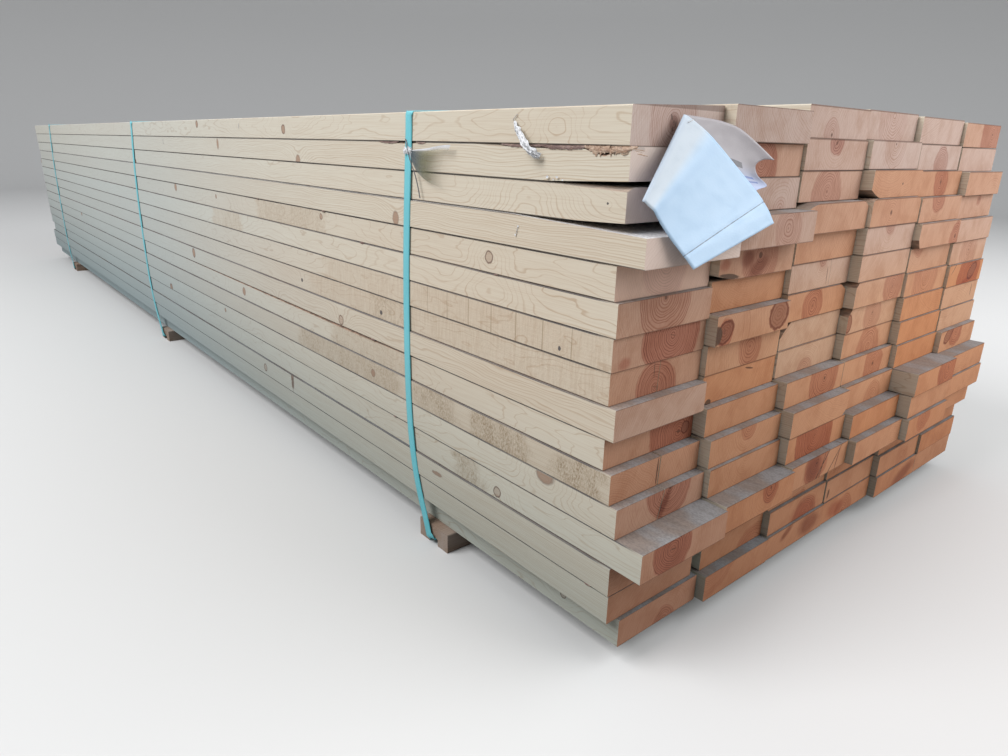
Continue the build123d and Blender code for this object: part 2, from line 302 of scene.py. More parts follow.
def growth_rings() -> bpy.types.NodeTree:
    """Build the group that grows a log round its pith.

    The late wood is drawn as lines of about one width, however flat the face cuts the rings.

    Returns:
        A group that gives the late wood lines and the distance from the pith.
    """
    graph, given, out = shader_group(
        "Growth Rings",
        {"Point": ("vector", (0, 0, 0)), "Facing": ("vector", (0, 0, 1)), "Pith Y": ("number", 0.0),
         "Pith Z": ("number", 0.0), "Ring": ("number", 0.004), "Swirl": ("number", 0.0),
         "Seed": ("number", 0.0)},
        {"Late Wood": "number", "Radius": "number", "Turn": "number"})
    x, y, z = graph.split(given.outputs["Point"])
    seed = given.outputs["Seed"]
    free = graph.step(x, -0.7, -0.03, 1.0, 0.0)
    drift_y = graph.noise(graph.join(graph.times(x, 1.3), seed, 0.0), 1.0, 2.0)
    drift_z = graph.noise(graph.join(graph.times(x, 1.1), seed, 5.0), 1.0, 2.0)
    from_y = graph.less(graph.less(y, given.outputs["Pith Y"]), graph.times(graph.swing(drift_y, 0.08), free))
    from_z = graph.less(graph.less(z, given.outputs["Pith Z"]), graph.times(graph.swing(drift_z, 0.08), free))
    radius = graph.vector("LENGTH", graph.join(0.0, from_y, from_z))
    outwards = graph.vector("NORMALIZE", graph.join(0.0, from_y, from_z))
    flat = graph.vector("DOT_PRODUCT", outwards, given.outputs["Facing"])
    steep = graph.math("SQRT", graph.math("MAXIMUM", graph.less(1.0, graph.times(flat, flat)), 0.0))
    place = graph.vector("ADD", graph.stretched(given.outputs["Point"], (4.2, 17.0, 17.0)),
                         graph.join(seed, seed, 0.0))
    wave = graph.swing(graph.noise(place, 1.0, 3.0, 0.5), 0.020)
    grown = graph.plus(graph.plus(radius, wave), given.outputs["Swirl"])
    turns = graph.math("DIVIDE", grown, given.outputs["Ring"])
    uneven = graph.noise(graph.join(graph.times(turns, 0.35), seed, 0.0), 1.0, 2.0)
    turns = graph.plus(turns, graph.times(uneven, 2.4))
    share = graph.math("FRACT", turns)
    width = graph.step(steep, 0.0, 0.7, 0.09, 0.45)
    start = graph.less(0.94, width)
    line = graph.times(graph.step(share, start, graph.less(0.93, graph.times(width, 0.25))),
                       graph.step(share, 0.93, 0.995, 1.0, 0.0))
    strength = graph.noise(graph.join(graph.math("FLOOR", turns), seed, 0.0), 1.0, 1.0)
    graph.feed(out.inputs["Late Wood"], graph.times(line, graph.step(strength, 0.3, 0.7, 0.45, 1.0)))
    graph.feed(out.inputs["Radius"], grown)
    graph.feed(out.inputs["Turn"], graph.math("ARCTAN2", from_z, from_y))
    return graph.tree


def branch_knots() -> bpy.types.NodeTree:
    """Build the group that sets knots along a log, each a branch that runs out from the pith.

    Returns:
        A group that gives the knots' mask, their dark rim and the swirl that they make in the rings.
    """
    graph, given, out = shader_group(
        "Branch Knots",
        {"Point": ("vector", (0, 0, 0)), "Pith Y": ("number", 0.0), "Pith Z": ("number", 0.0),
         "Spacing": ("number", 0.5), "Size": ("number", 0.009), "Seed": ("number", 0.0)},
        {"Mask": "number", "Rim": "number", "Swirl": "number"})
    x, y, z = graph.split(given.outputs["Point"])
    cell = graph.math("DIVIDE", x, given.outputs["Spacing"])
    dice = graph.add("ShaderNodeTexWhiteNoise", noise_dimensions="2D")
    graph.feed(dice.inputs["Vector"], graph.join(graph.math("FLOOR", cell), given.outputs["Seed"], 0.0))
    red, green, blue = graph.split(dice.outputs["Color"])
    place = graph.step(red, 0.0, 1.0, 0.25, 0.75)
    along = graph.times(graph.less(graph.math("FRACT", cell), place), given.outputs["Spacing"])
    turn = graph.times(green, math.tau)
    way_y, way_z = graph.math("COSINE", turn), graph.math("SINE", turn)
    from_y = graph.less(y, given.outputs["Pith Y"])
    from_z = graph.less(z, given.outputs["Pith Z"])
    out_along = graph.plus(graph.times(from_y, way_y), graph.times(from_z, way_z))
    beside = graph.less(graph.times(from_y, way_z), graph.times(from_z, way_y))
    rough = graph.swing(graph.noise(given.outputs["Point"], 90.0), 0.005)
    distance = graph.plus(graph.vector("LENGTH", graph.join(along, beside, 0.0)), rough)
    size = graph.times(given.outputs["Size"], graph.math("MULTIPLY_ADD", blue, 1.1, 0.35))
    outside = graph.step(out_along, 0.0, 0.01)
    near = graph.math("DIVIDE", distance, size)
    graph.feed(out.inputs["Mask"], graph.times(graph.step(near, 0.85, 1.05, 1.0, 0.0), outside))
    rim = graph.band(near, 0.7, 0.95, 1.0, 1.25)
    graph.feed(out.inputs["Rim"], graph.times(rim, outside))
    fade = graph.math("EXPONENT", graph.times(graph.math("POWER", graph.math("DIVIDE", near, 3.2), 2.0), -1.0))
    graph.feed(out.inputs["Swirl"], graph.times(graph.times(graph.times(fade, size), 1.6), outside))
    return graph.tree


def single_knot() -> bpy.types.NodeTree:
    """Build the group of one knot at a chosen place on a face.

    Returns:
        A group that gives the knot's mask, its dark rim and the swirl round it.
    """
    graph, given, out = shader_group(
        "Single Knot",
        {"Along": ("number", 0.0), "Up": ("number", 0.0), "Size": ("number", 0.01), "Shape": ("number", 1.0),
         "Reach": ("number", 2.6)},
        {"Mask": "number", "Rim": "number", "Swirl": "number"})
    along, up = given.outputs["Along"], given.outputs["Up"]
    wobble = graph.swing(graph.noise(graph.join(along, up, 0.0), 110.0, 2.0), 0.004)
    oval = graph.join(graph.times(along, given.outputs["Shape"]), up, 0.0)
    distance = graph.plus(graph.vector("LENGTH", oval), wobble)
    near = graph.math("DIVIDE", distance, given.outputs["Size"])
    graph.feed(out.inputs["Mask"], graph.step(near, 0.82, 1.0, 1.0, 0.0))
    graph.feed(out.inputs["Rim"], graph.band(near, 0.72, 0.92, 0.98, 1.16))
    wide = graph.vector("LENGTH", graph.join(graph.times(along, 0.55), up, 0.0))
    far = graph.math("DIVIDE", wide, graph.times(given.outputs["Size"], given.outputs["Reach"]))
    fade = graph.math("EXPONENT", graph.times(graph.times(far, far), -1.0))
    graph.feed(out.inputs["Swirl"], graph.times(graph.times(fade, given.outputs["Size"]), 1.5))
    return graph.tree


def end_mark() -> bpy.types.NodeTree:
    """Build the group of one oval mark on the end of a board.

    Returns:
        A group that gives the mark's mask, its dark rim and the rings inside it.
    """
    graph, given, out = shader_group(
        "End Mark",
        {"Across": ("number", 0.0), "Up": ("number", 0.0), "Half Width": ("number", 0.01),
         "Half Height": ("number", 0.01), "Lean": ("number", 0.0), "Soft": ("number", 0.1)},
        {"Mask": "number", "Rim": "number", "Rings": "number"})
    across, up, lean = (given.outputs[name] for name in ("Across", "Up", "Lean"))
    way_y, way_z = graph.math("COSINE", lean), graph.math("SINE", lean)
    along = graph.plus(graph.times(across, way_y), graph.times(up, way_z))
    beside = graph.less(graph.times(up, way_y), graph.times(across, way_z))
    place = graph.join(graph.math("DIVIDE", along, given.outputs["Half Width"]),
                       graph.math("DIVIDE", beside, given.outputs["Half Height"]), 0.0)
    wobble = graph.swing(graph.noise(graph.join(across, up, 0.0), 85.0, 3.0), 0.42)
    near = graph.plus(graph.vector("LENGTH", place), wobble)
    soft = given.outputs["Soft"]
    graph.feed(out.inputs["Mask"], graph.step(near, graph.less(1.0, soft), graph.plus(1.0, soft), 1.0, 0.0))
    graph.feed(out.inputs["Rim"], graph.band(near, 0.78, 0.95, 0.98, 1.12))
    share = graph.math("FRACT", graph.times(near, 4.3))
    graph.feed(out.inputs["Rings"], graph.band(share, 0.35, 0.8, 0.8, 0.98))
    return graph.tree


def saw_marks() -> bpy.types.NodeTree:
    """Build the group of the marks that a saw leaves.

    Returns:
        A group that gives fine streaks across the way of the cut, and torn fibres between them.
    """
    graph, given, out = shader_group(
        "Saw Marks",
        {"Along": ("number", 0.0), "Across": ("number", 0.0), "Pitch": ("number", 0.002),
         "Seed": ("number", 0.0)},
        {"Streaks": "number", "Fuzz": "number"})
    across, seed = given.outputs["Across"], given.outputs["Seed"]
    tooth = graph.math("DIVIDE", given.outputs["Along"], given.outputs["Pitch"])
    place = graph.join(tooth, graph.times(across, 28.0), seed)
    graph.feed(out.inputs["Streaks"], graph.noise(place, 1.0, 2.0, 0.6))
    fuzz = graph.join(graph.times(tooth, 1.4), graph.times(across, 190.0), seed)
    graph.feed(out.inputs["Fuzz"], graph.noise(fuzz, 1.0, 4.0, 0.7))
    return graph.tree


def grime() -> bpy.types.NodeTree:
    """Build the group of greying and dust that lies on a piece.

    Returns:
        A group that gives a soft patchy mask and small specks.
    """
    graph, given, out = shader_group(
        "Grime",
        {"Point": ("vector", (0, 0, 0)), "Amount": ("number", 0.5), "Seed": ("number", 0.0)},
        {"Patches": "number", "Specks": "number"})
    place = graph.vector("ADD", given.outputs["Point"], graph.join(given.outputs["Seed"], 0.0, 0.0))
    wide = graph.noise(graph.stretched(place, (2.2, 9.0, 9.0)), 1.0, 4.0, 0.6)
    low = graph.less(0.8, graph.times(given.outputs["Amount"], 0.5))
    graph.feed(out.inputs["Patches"], graph.step(wide, low, graph.plus(low, 0.25)))
    fine = graph.noise(graph.stretched(place, (120.0, 260.0, 260.0)), 1.0, 2.0, 0.6)
    graph.feed(out.inputs["Specks"], graph.step(fine, 0.70, 0.78))
    return graph.tree


def diamond_emboss() -> bpy.types.NodeTree:
    """Build the group of the small raised diamonds that are rolled into plastic strap and woven film.

    Returns:
        A group that gives the height of the pattern.
    """
    graph, given, out = shader_group(
        "Diamond Emboss",
        {"Along": ("number", 0.0), "Across": ("number", 0.0), "Pitch": ("number", 0.002)},
        {"Height": "number"})
    turn = graph.math("DIVIDE", math.tau, given.outputs["Pitch"])
    one = graph.math("SINE", graph.times(graph.plus(given.outputs["Along"], given.outputs["Across"]), turn))
    other = graph.math("SINE", graph.times(graph.less(given.outputs["Along"], given.outputs["Across"]), turn))
    graph.feed(out.inputs["Height"], graph.math("MULTIPLY_ADD", graph.times(one, other), 0.5, 0.5))
    return graph.tree


@dataclass(frozen=True)
class Groups:
    """The shader groups that several finishes share."""

    rings: bpy.types.NodeTree
    branches: bpy.types.NodeTree
    knot: bpy.types.NodeTree
    mark: bpy.types.NodeTree
    saw: bpy.types.NodeTree
    grime: bpy.types.NodeTree
    emboss: bpy.types.NodeTree

    @classmethod
    def build(cls) -> "Groups":
        """Build each group once."""
        return cls(growth_rings(), branch_knots(), single_knot(), end_mark(), saw_marks(), grime(),
                   diamond_emboss())


def new_material(name: str) -> tuple[bpy.types.Material, Graph, bpy.types.Node]:
    """Start a material.

    Args:
        name: its name.

    Returns:
        The material, its graph and its shader.
    """
    material = bpy.data.materials.new(name)
    material.use_nodes = True
    graph = Graph(material.node_tree)
    shader = next(node for node in material.node_tree.nodes if node.type == "BSDF_PRINCIPLED")
    return material, graph, shader


def bump(graph: Graph, shader: bpy.types.Node, height: Value, depth: float, strength: float = 0.5) -> None:
    """Feed a height to a shader's normal.

    Args:
        graph: the material's graph.
        shader: its shader.
        height: the height, 0 to 1.
        depth: how deep that is, in metres.
        strength: how strongly it shows.
    """
    node = graph.add("ShaderNodeBump")
    graph.feed(node.inputs["Strength"], strength)
    graph.feed(node.inputs["Distance"], depth)
    graph.feed(node.inputs["Height"], height)
    graph.feed(shader.inputs["Normal"], node.outputs["Normal"])


@dataclass(frozen=True)
class Cut:
    """How one board was cut from its log, and its tone.

    The pith lies right and up of the board's middle, as seen on the near end, in mm. Heart is the radius of
    the red heartwood round it, and ring is the gap between two rings. Tone goes from pale pink to orange, and
    red is how strongly the heart is coloured.
    """

    right: float
    up: float
    heart: float
    ring: float
    tone: float
    red: float


# Every board's cut, top course first and long side first
CUTS = (
    ((-15, 6, 52, 3.6, 0.0, 0.35), (150, 120, 0, 4.2, 0.1, 0), (-21, -17, 26, 3.5, 0.15, 0.3),
     (-2, 17, 56, 4.4, 0.1, 0.2), (-120, 160, 0, 4, 0.15, 0), (56, 4, 62, 4, 0.5, 0.7)),
    ((60, -90, 0, 3.6, 0.0, 0), (-10, -2, 42, 3.2, 0.5, 0.8), (-8, 18, 20, 4.6, 0.25, 0.8),
     (-10, 18, 46, 4.4, 0.1, 0.1), (8, -9, 32, 3.4, 0.12, 0.55), (140, 60, 0, 4, 0.2, 0)),
    ((-170, 20, 0, 3.4, 0.35, 0), (52, -21, 17, 5.2, 0.15, 0.2), (-14, -8, 44, 4.4, 0.42, 0.5),
     (-40, 150, 0, 4, 0.7, 0), (-2, 3, 33, 3, 0.7, 0.8), (60, -80, 0, 4, 0.6, 0)),
    ((30, -140, 0, 3.8, 0.15, 0), (20, 1, 36, 4.2, 0.3, 0.35), (-150, 40, 0, 4, 0.6, 0),
     (-23, 0, 38, 4.4, 0.65, 0.12), (-18, 26, 31, 3.5, 0.6, 0.7), (15, 14, 12, 4, 0.5, 0.6)),
    ((-1, 16, 45, 3.6, 0.5, 0.5), (3, 7, 49, 3.2, 0.5, 0.55), (170, 120, 0, 4, 0.65, 0),
     (-10, 29, 22, 4, 0.25, 0.45), (80, -9, 26, 4, 0.55, 0.7), (-90, 70, 0, 4, 0.35, 0)),
    ((-5, 20, 54, 4.6, 0.45, 0.45), (-10, 60, 0, 3.2, 0.7, 0), (2, 24, 13, 3, 0.2, 0.55),
     (-120, 90, 0, 4, 0.35, 0), (-63, 25, 20, 3.5, 0.5, 0.45), (-1, 3, 48, 4.4, 0.35, 0.3)),
    ((23, 10, 60, 3.4, 0.45, 1.0), (-78, -2, 19, 4.4, 0.5, 1.0), (-13, -4, 33, 4, 0.6, 0.7),
     (50, 3, 40, 4, 0.4, 0.6), (-6, 10, 58, 4.4, 0.55, 0.4), (20, -6, 60, 3.5, 0.75, 1.0)),
    ((-3, -14, 40, 3.4, 0.5, 0.85), (13, 6, 33, 4.2, 0.45, 0.6), (-150, 130, 0, 3.6, 0.15, 0),
     (-2, 6, 36, 4, 0.3, 0.45), (90, 140, 0, 4, 0.7, 0), (-11, -78, 0, 4, 0.35, 0)),
    ((160, -130, 0, 3.6, 0.25, 0), (-140, 110, 0, 4, 0.65, 0), (-5, -25, 24, 3.6, 0.15, 0.4),
     (6, -14, 44, 3.6, 0.45, 0.55), (150, -100, 0, 4, 0.75, 0), (-70, 90, 0, 4, 0.3, 0)),
    ((63, -6, 66, 3.6, 0.55, 1.0), (170, -140, 0, 3.8, 0.55, 0), (30, 7, 50, 3.8, 0.5, 0.7),
     (23, -2, 40, 3.6, 0.5, 0.65), (-120, 60, 0, 4, 0.75, 0), (-10, 15, 35, 3.8, 0.5, 0.8)),
    ((-110, -90, 0, 3.4, 0.6, 0), (5, 20, 22, 3.8, 0.5, 0.5), (100, 160, 0, 3.2, 0.5, 0),
     (20, -20, 34, 3.8, 0.5, 0.3), (60, 10, 50, 4, 0.65, 0.8), (-60, -120, 0, 4, 0.6, 0)),
    ((16, 22, 49, 3.6, 0.4, 0.8), (-1, 22, 0, 3.6, 0.5, 0.3), (-8, 10, 64, 3.8, 0.6, 1.0),
     (150, -120, 0, 4, 0.7, 0), (-130, 100, 0, 4, 0.55, 0), (40, 60, 0, 4, 0.6, 0)),
    ((-32, 8, 42, 3.4, 0.5, 1.0), (25, 18, 24, 3.6, 0.6, 0.8), (-14, 10, 40, 3.8, 0.5, 0.7),
     (30, -150, 0, 4, 0.5, 0), (-24, 10, 30, 4, 0.65, 0.5), (70, -60, 0, 4, 0.6, 0)),
    ((-95, 140, 0, 3.6, 0.55, 0), (-60, 120, 0, 3.6, 0.55, 0), (4, -56, 40, 3.8, 0.5, 0.5),
     (40, 30, 34, 4, 0.6, 0.5), (-80, 90, 0, 4, 0.6, 0), (10, 20, 30, 4, 0.6, 0.55)),
    ((-120, 160, 0, 3.6, 0.55, 0), (64, -41, 50, 3.8, 0.5, 0.45), (28, -27, 46, 3.8, 0.5, 0.5),
     (-90, 70, 0, 4, 0.45, 0), (20, -10, 30, 4, 0.55, 0.15), (60, 80, 0, 4, 0.7, 0)),
    ((11, -25, 24, 3.6, 0.5, 0.5), (-70, 40, 60, 3.6, 0.5, 0.3), (110, -120, 0, 3.8, 0.5, 0),
     (-10, -20, 36, 4, 0.55, 0.5), (80, 60, 0, 4, 0.6, 0), (-60, 90, 0, 4, 0.5, 0)),
)

# How far each board's side on the long side has gone from cream to tan, top course first
SIDE_TANS = (0.1, 0.0, 0.1, 0.25, 0.4, 0.2, 0.6, 0.6, 0.4, 0.35, 0.5, 0.2, 0.15, 0.1, 0.1, 0.0)
# The courses, counted from the top, whose top faces on the long side are painted pale, as painted light for
# the sky light caught in the gap under the board above
PAINTED_LIGHT_TOPS = (3, 4)
# How far the ends on the long side beside the tag are painted paler, as painted light where the tag's shadow
# falls, by the course counted from the top
TAG_SIDE_END_LIGHT = {1: 0.1, 2: 0.6, 3: 0.65, 4: 0.45, 5: 0.3}


class KnotKind(Enum):
    """What a single knot looks like."""

    RINGED = "a pale middle in a dark ring"
    BROWN = "brown right through"
    HOLE = "a small dark hole"
    SWIRL = "only the swirl in the grain"


@dataclass(frozen=True)
class Knot:
    """A knot on the long side: its row from the top, place along from the near end plane and height, in mm."""

    row: int
    along: float
    up: float
    radius: float
    kind: KnotKind
    shape: float = 1.0


KNOTS = (
    Knot(1, -148, 21, 9, KnotKind.SWIRL), Knot(2, -920, 4, 11, KnotKind.BROWN),
    Knot(2, -1406, 30, 13, KnotKind.BROWN, 1.8), Knot(3, -207, 28, 20, KnotKind.SWIRL, 0.3),
    Knot(3, -56, 25, 1.7, KnotKind.HOLE), Knot(4, -536, 11, 12, KnotKind.BROWN, 1.2),
    Knot(5, -280, 23, 9, KnotKind.RINGED), Knot(5, -1834, 34, 12, KnotKind.BROWN),
    Knot(6, -272, 29, 15, KnotKind.SWIRL, 0.7), Knot(7, -124, 11, 4, KnotKind.HOLE, 1.4),
    Knot(8, -601, 13, 5, KnotKind.HOLE), Knot(8, -946, 20, 5, KnotKind.HOLE),
    Knot(9, -762, 12, 10, KnotKind.RINGED),
    Knot(10, -1320, 22, 11, KnotKind.BROWN), Knot(11, -637, 21, 8, KnotKind.BROWN),
    Knot(12, -141, 41, 13, KnotKind.BROWN, 0.7), Knot(13, -251, 13, 9, KnotKind.RINGED),
    Knot(14, -417, 25, 4, KnotKind.BROWN, 0.25), Knot(14, -1210, 20, 10, KnotKind.RINGED),
    Knot(16, -111, 25, 6, KnotKind.RINGED),
)
# How brown each kind of knot is inside, and how dark its rim
KNOT_TONES = {KnotKind.BROWN: (1.0, 0.5), KnotKind.RINGED: (0.55, 1.0)}


class MarkKind(Enum):
    """What a mark on an end looks like."""

    KNOT = "a red-brown branch cut across"
    STAIN = "a soft red-brown patch"
    DARK = "a soft patch of dark resin round a pith or a branch"
    BARK = "a bit of bark"
    CRACK = "a dark split"


@dataclass(frozen=True)
class EndMark:
    """A mark on the near end of one board.

    Row counts from the top and column from the long side. The rest is how far the mark lies right and up of
    the board's middle and half its width and height, in mm, and how far it leans, in degrees.
    """

    row: int
    column: int
    right: float
    up: float
    half_width: float
    half_height: float
    kind: MarkKind
    lean: float = 0.0


END_MARKS = (
    EndMark(1, 1, -15, 5, 10, 11, MarkKind.DARK), EndMark(1, 1, -20, 11, 1.5, 4, MarkKind.CRACK, 20),
    EndMark(1, 1, -11, 3, 1.2, 4, MarkKind.CRACK, -15), EndMark(1, 1, -17, -3, 1.2, 3, MarkKind.CRACK),
    EndMark(2, 1, -86, 20, 13, 3, MarkKind.BARK), EndMark(5, 2, -72, -17, 25, 4, MarkKind.BARK, -6),
    EndMark(5, 2, -84, 0, 12, 8, MarkKind.STAIN), EndMark(5, 2, 2, -10, 24, 12, MarkKind.DARK, 20),
    EndMark(5, 2, -28, 4, 15, 12, MarkKind.DARK), EndMark(4, 1, 34, 0, 2, 2, MarkKind.BARK),
    EndMark(6, 3, 21, -3, 0.8, 15, MarkKind.CRACK, 4), EndMark(7, 1, -72, -14, 11, 8, MarkKind.STAIN),
    EndMark(7, 2, -76, -3, 21, 16, MarkKind.KNOT, 25), EndMark(7, 2, -95, -6, 12, 14, MarkKind.BARK),
    EndMark(7, 2, 66, 4, 27, 23, MarkKind.KNOT), EndMark(7, 6, 37, 2, 24, 15, MarkKind.KNOT, 30),
    EndMark(7, 6, 15, -17, 34, 6, MarkKind.STAIN, 10), EndMark(7, 6, -72, 14, 1.0, 16, MarkKind.CRACK, -45),
    EndMark(8, 1, -8, 11, 0.7, 11, MarkKind.CRACK, 2), EndMark(8, 4, -93, -3, 12, 17, MarkKind.KNOT, 8),
    EndMark(8, 6, 63, 4, 1.3, 14, MarkKind.CRACK, 3), EndMark(9, 2, 22, 15, 12, 1.4, MarkKind.CRACK, -12),
    EndMark(9, 2, -80, -20, 7, 5, MarkKind.BARK), EndMark(10, 1, 79, -3, 9, 10, MarkKind.KNOT),
    EndMark(10, 6, -54, 12, 24, 15, MarkKind.KNOT, 35), EndMark(11, 1, 1, 1, 1.6, 21, MarkKind.CRACK, -3),
    EndMark(12, 1, 6, 0, 7, 24, MarkKind.DARK, -28), EndMark(12, 1, -2, -4, 2.2, 10, MarkKind.DARK, -8),
    EndMark(13, 3, -24, 2, 26, 24, MarkKind.DARK, 10), EndMark(13, 3, 9, -2, 1.4, 26, MarkKind.CRACK, -14),
    EndMark(13, 3, 64, -2, 1.4, 22, MarkKind.CRACK, -14), EndMark(15, 4, -86, -6, 3.5, 10, MarkKind.CRACK, -8),
    EndMark(15, 3, 25, -12, 40, 20, MarkKind.STAIN), EndMark(16, 3, -35, 12, 20, 7, MarkKind.DARK, 30),
    EndMark(16, 3, 45, 2, 34, 20, MarkKind.DARK), EndMark(16, 4, -47, -4, 28, 15, MarkKind.STAIN),
    EndMark(16, 5, 40, -6, 50, 16, MarkKind.DARK, 15), EndMark(3, 4, 20, 0, 2, 2, MarkKind.BARK),
)


@dataclass(frozen=True)
class RoughPatch:
    """A stretch of the long side that the saw left furry and brown, in mm from the near end plane."""

    row: int
    start: float
    end: float
    brown: float


ROUGH_PATCHES = (
    RoughPatch(5, -1178, -821, 0.45), RoughPatch(7, -830, -20, 0.12), RoughPatch(8, -900, -14, 0.12),
    RoughPatch(8, -640, -500, 0.6), RoughPatch(10, -816, -495, 0.35), RoughPatch(11, -978, -541, 0.65),
    RoughPatch(11, -485, -363, 0.8), RoughPatch(11, -320, -180, 1.0), RoughPatch(11, -120, -30, 1.0),
    RoughPatch(13, -366, -296, 0.75), RoughPatch(6, -1500, -1290, 0.4),
)
# The row that is scored across, the gap between two lines, how far they lie off the near end plane and the
# stretch that carries them, in metres
SCORED_ROW = 7
SCORE_GAP = 0.0568
SCORE_SHIFT = 0.0162
SCORED_STRETCH = (-0.49, -0.07)


@dataclass(frozen=True)
class BoardPlace:
    """Where one board lies, read from the frame: its near end, its two long edges and its underside."""

    near_x: float
    left: float
    right: float
    bottom: float


@dataclass
class Stack:
    """The boards as they lie in the frame."""

    furthest_out: float = 0.061
    thickness: float = 0.045
    same_point: float = 0.00001

    def __post_init__(self) -> None:
        """Read the place of every board."""
        self.places = [self.read_course(self.node_name(course)) for course in range(COURSES)]
        self.near_plane = CAD_BOX[1].x - self.furthest_out
        boards = [course[0] for course in self.places]
        self.long_side = min(board.left for board in boards)
        self.base = boards[0].bottom
        self.top = boards[-1].bottom + self.thickness

    @staticmethod
    def node_name(course: int) -> str:
        """Name of the node of a course; 0 is the lowest."""
        return f"course_{course + 1:02d}"

    def read_course(self, name: str) -> list[BoardPlace]:
        """Find the six boards of a course, each an island of the node's mesh.

        Args:
            name: the node.

        Returns:
            Their places, from the long side inwards.
        """
        mesh = bmesh.new()
        mesh.from_mesh(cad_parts[name].data)
        bmesh.ops.remove_doubles(mesh, verts=mesh.verts, dist=self.same_point)
        rest, places = set(mesh.verts), []
        while rest:
            island, edge = set(), {rest.pop()}
            while edge:
                island |= edge
                edge = {link.other_vert(vertex) for vertex in edge for link in vertex.link_edges} - island
            rest -= island
            points = np.array([vertex.co for vertex in island])
            low, high = points.min(axis=0), points.max(axis=0)
            places.append(BoardPlace(float(high[0]), float(low[1]), float(high[1]), float(low[2])))
        mesh.free()
        return sorted(places, key=lambda place: place.left)

    def at(self, along: float, inwards: float, drop: float) -> Vector:
        """Turn a place on the bundle into one in the frame.

        Args:
            along: distance in mm from the near end plane, plus towards the viewer.
            inwards: distance in mm from the long side.
            drop: distance in mm down from the top of the bundle.

        Returns:
            The point, in metres.
        """
        return Vector((self.near_plane + along * MM, self.long_side + inwards * MM, self.top - drop * MM))


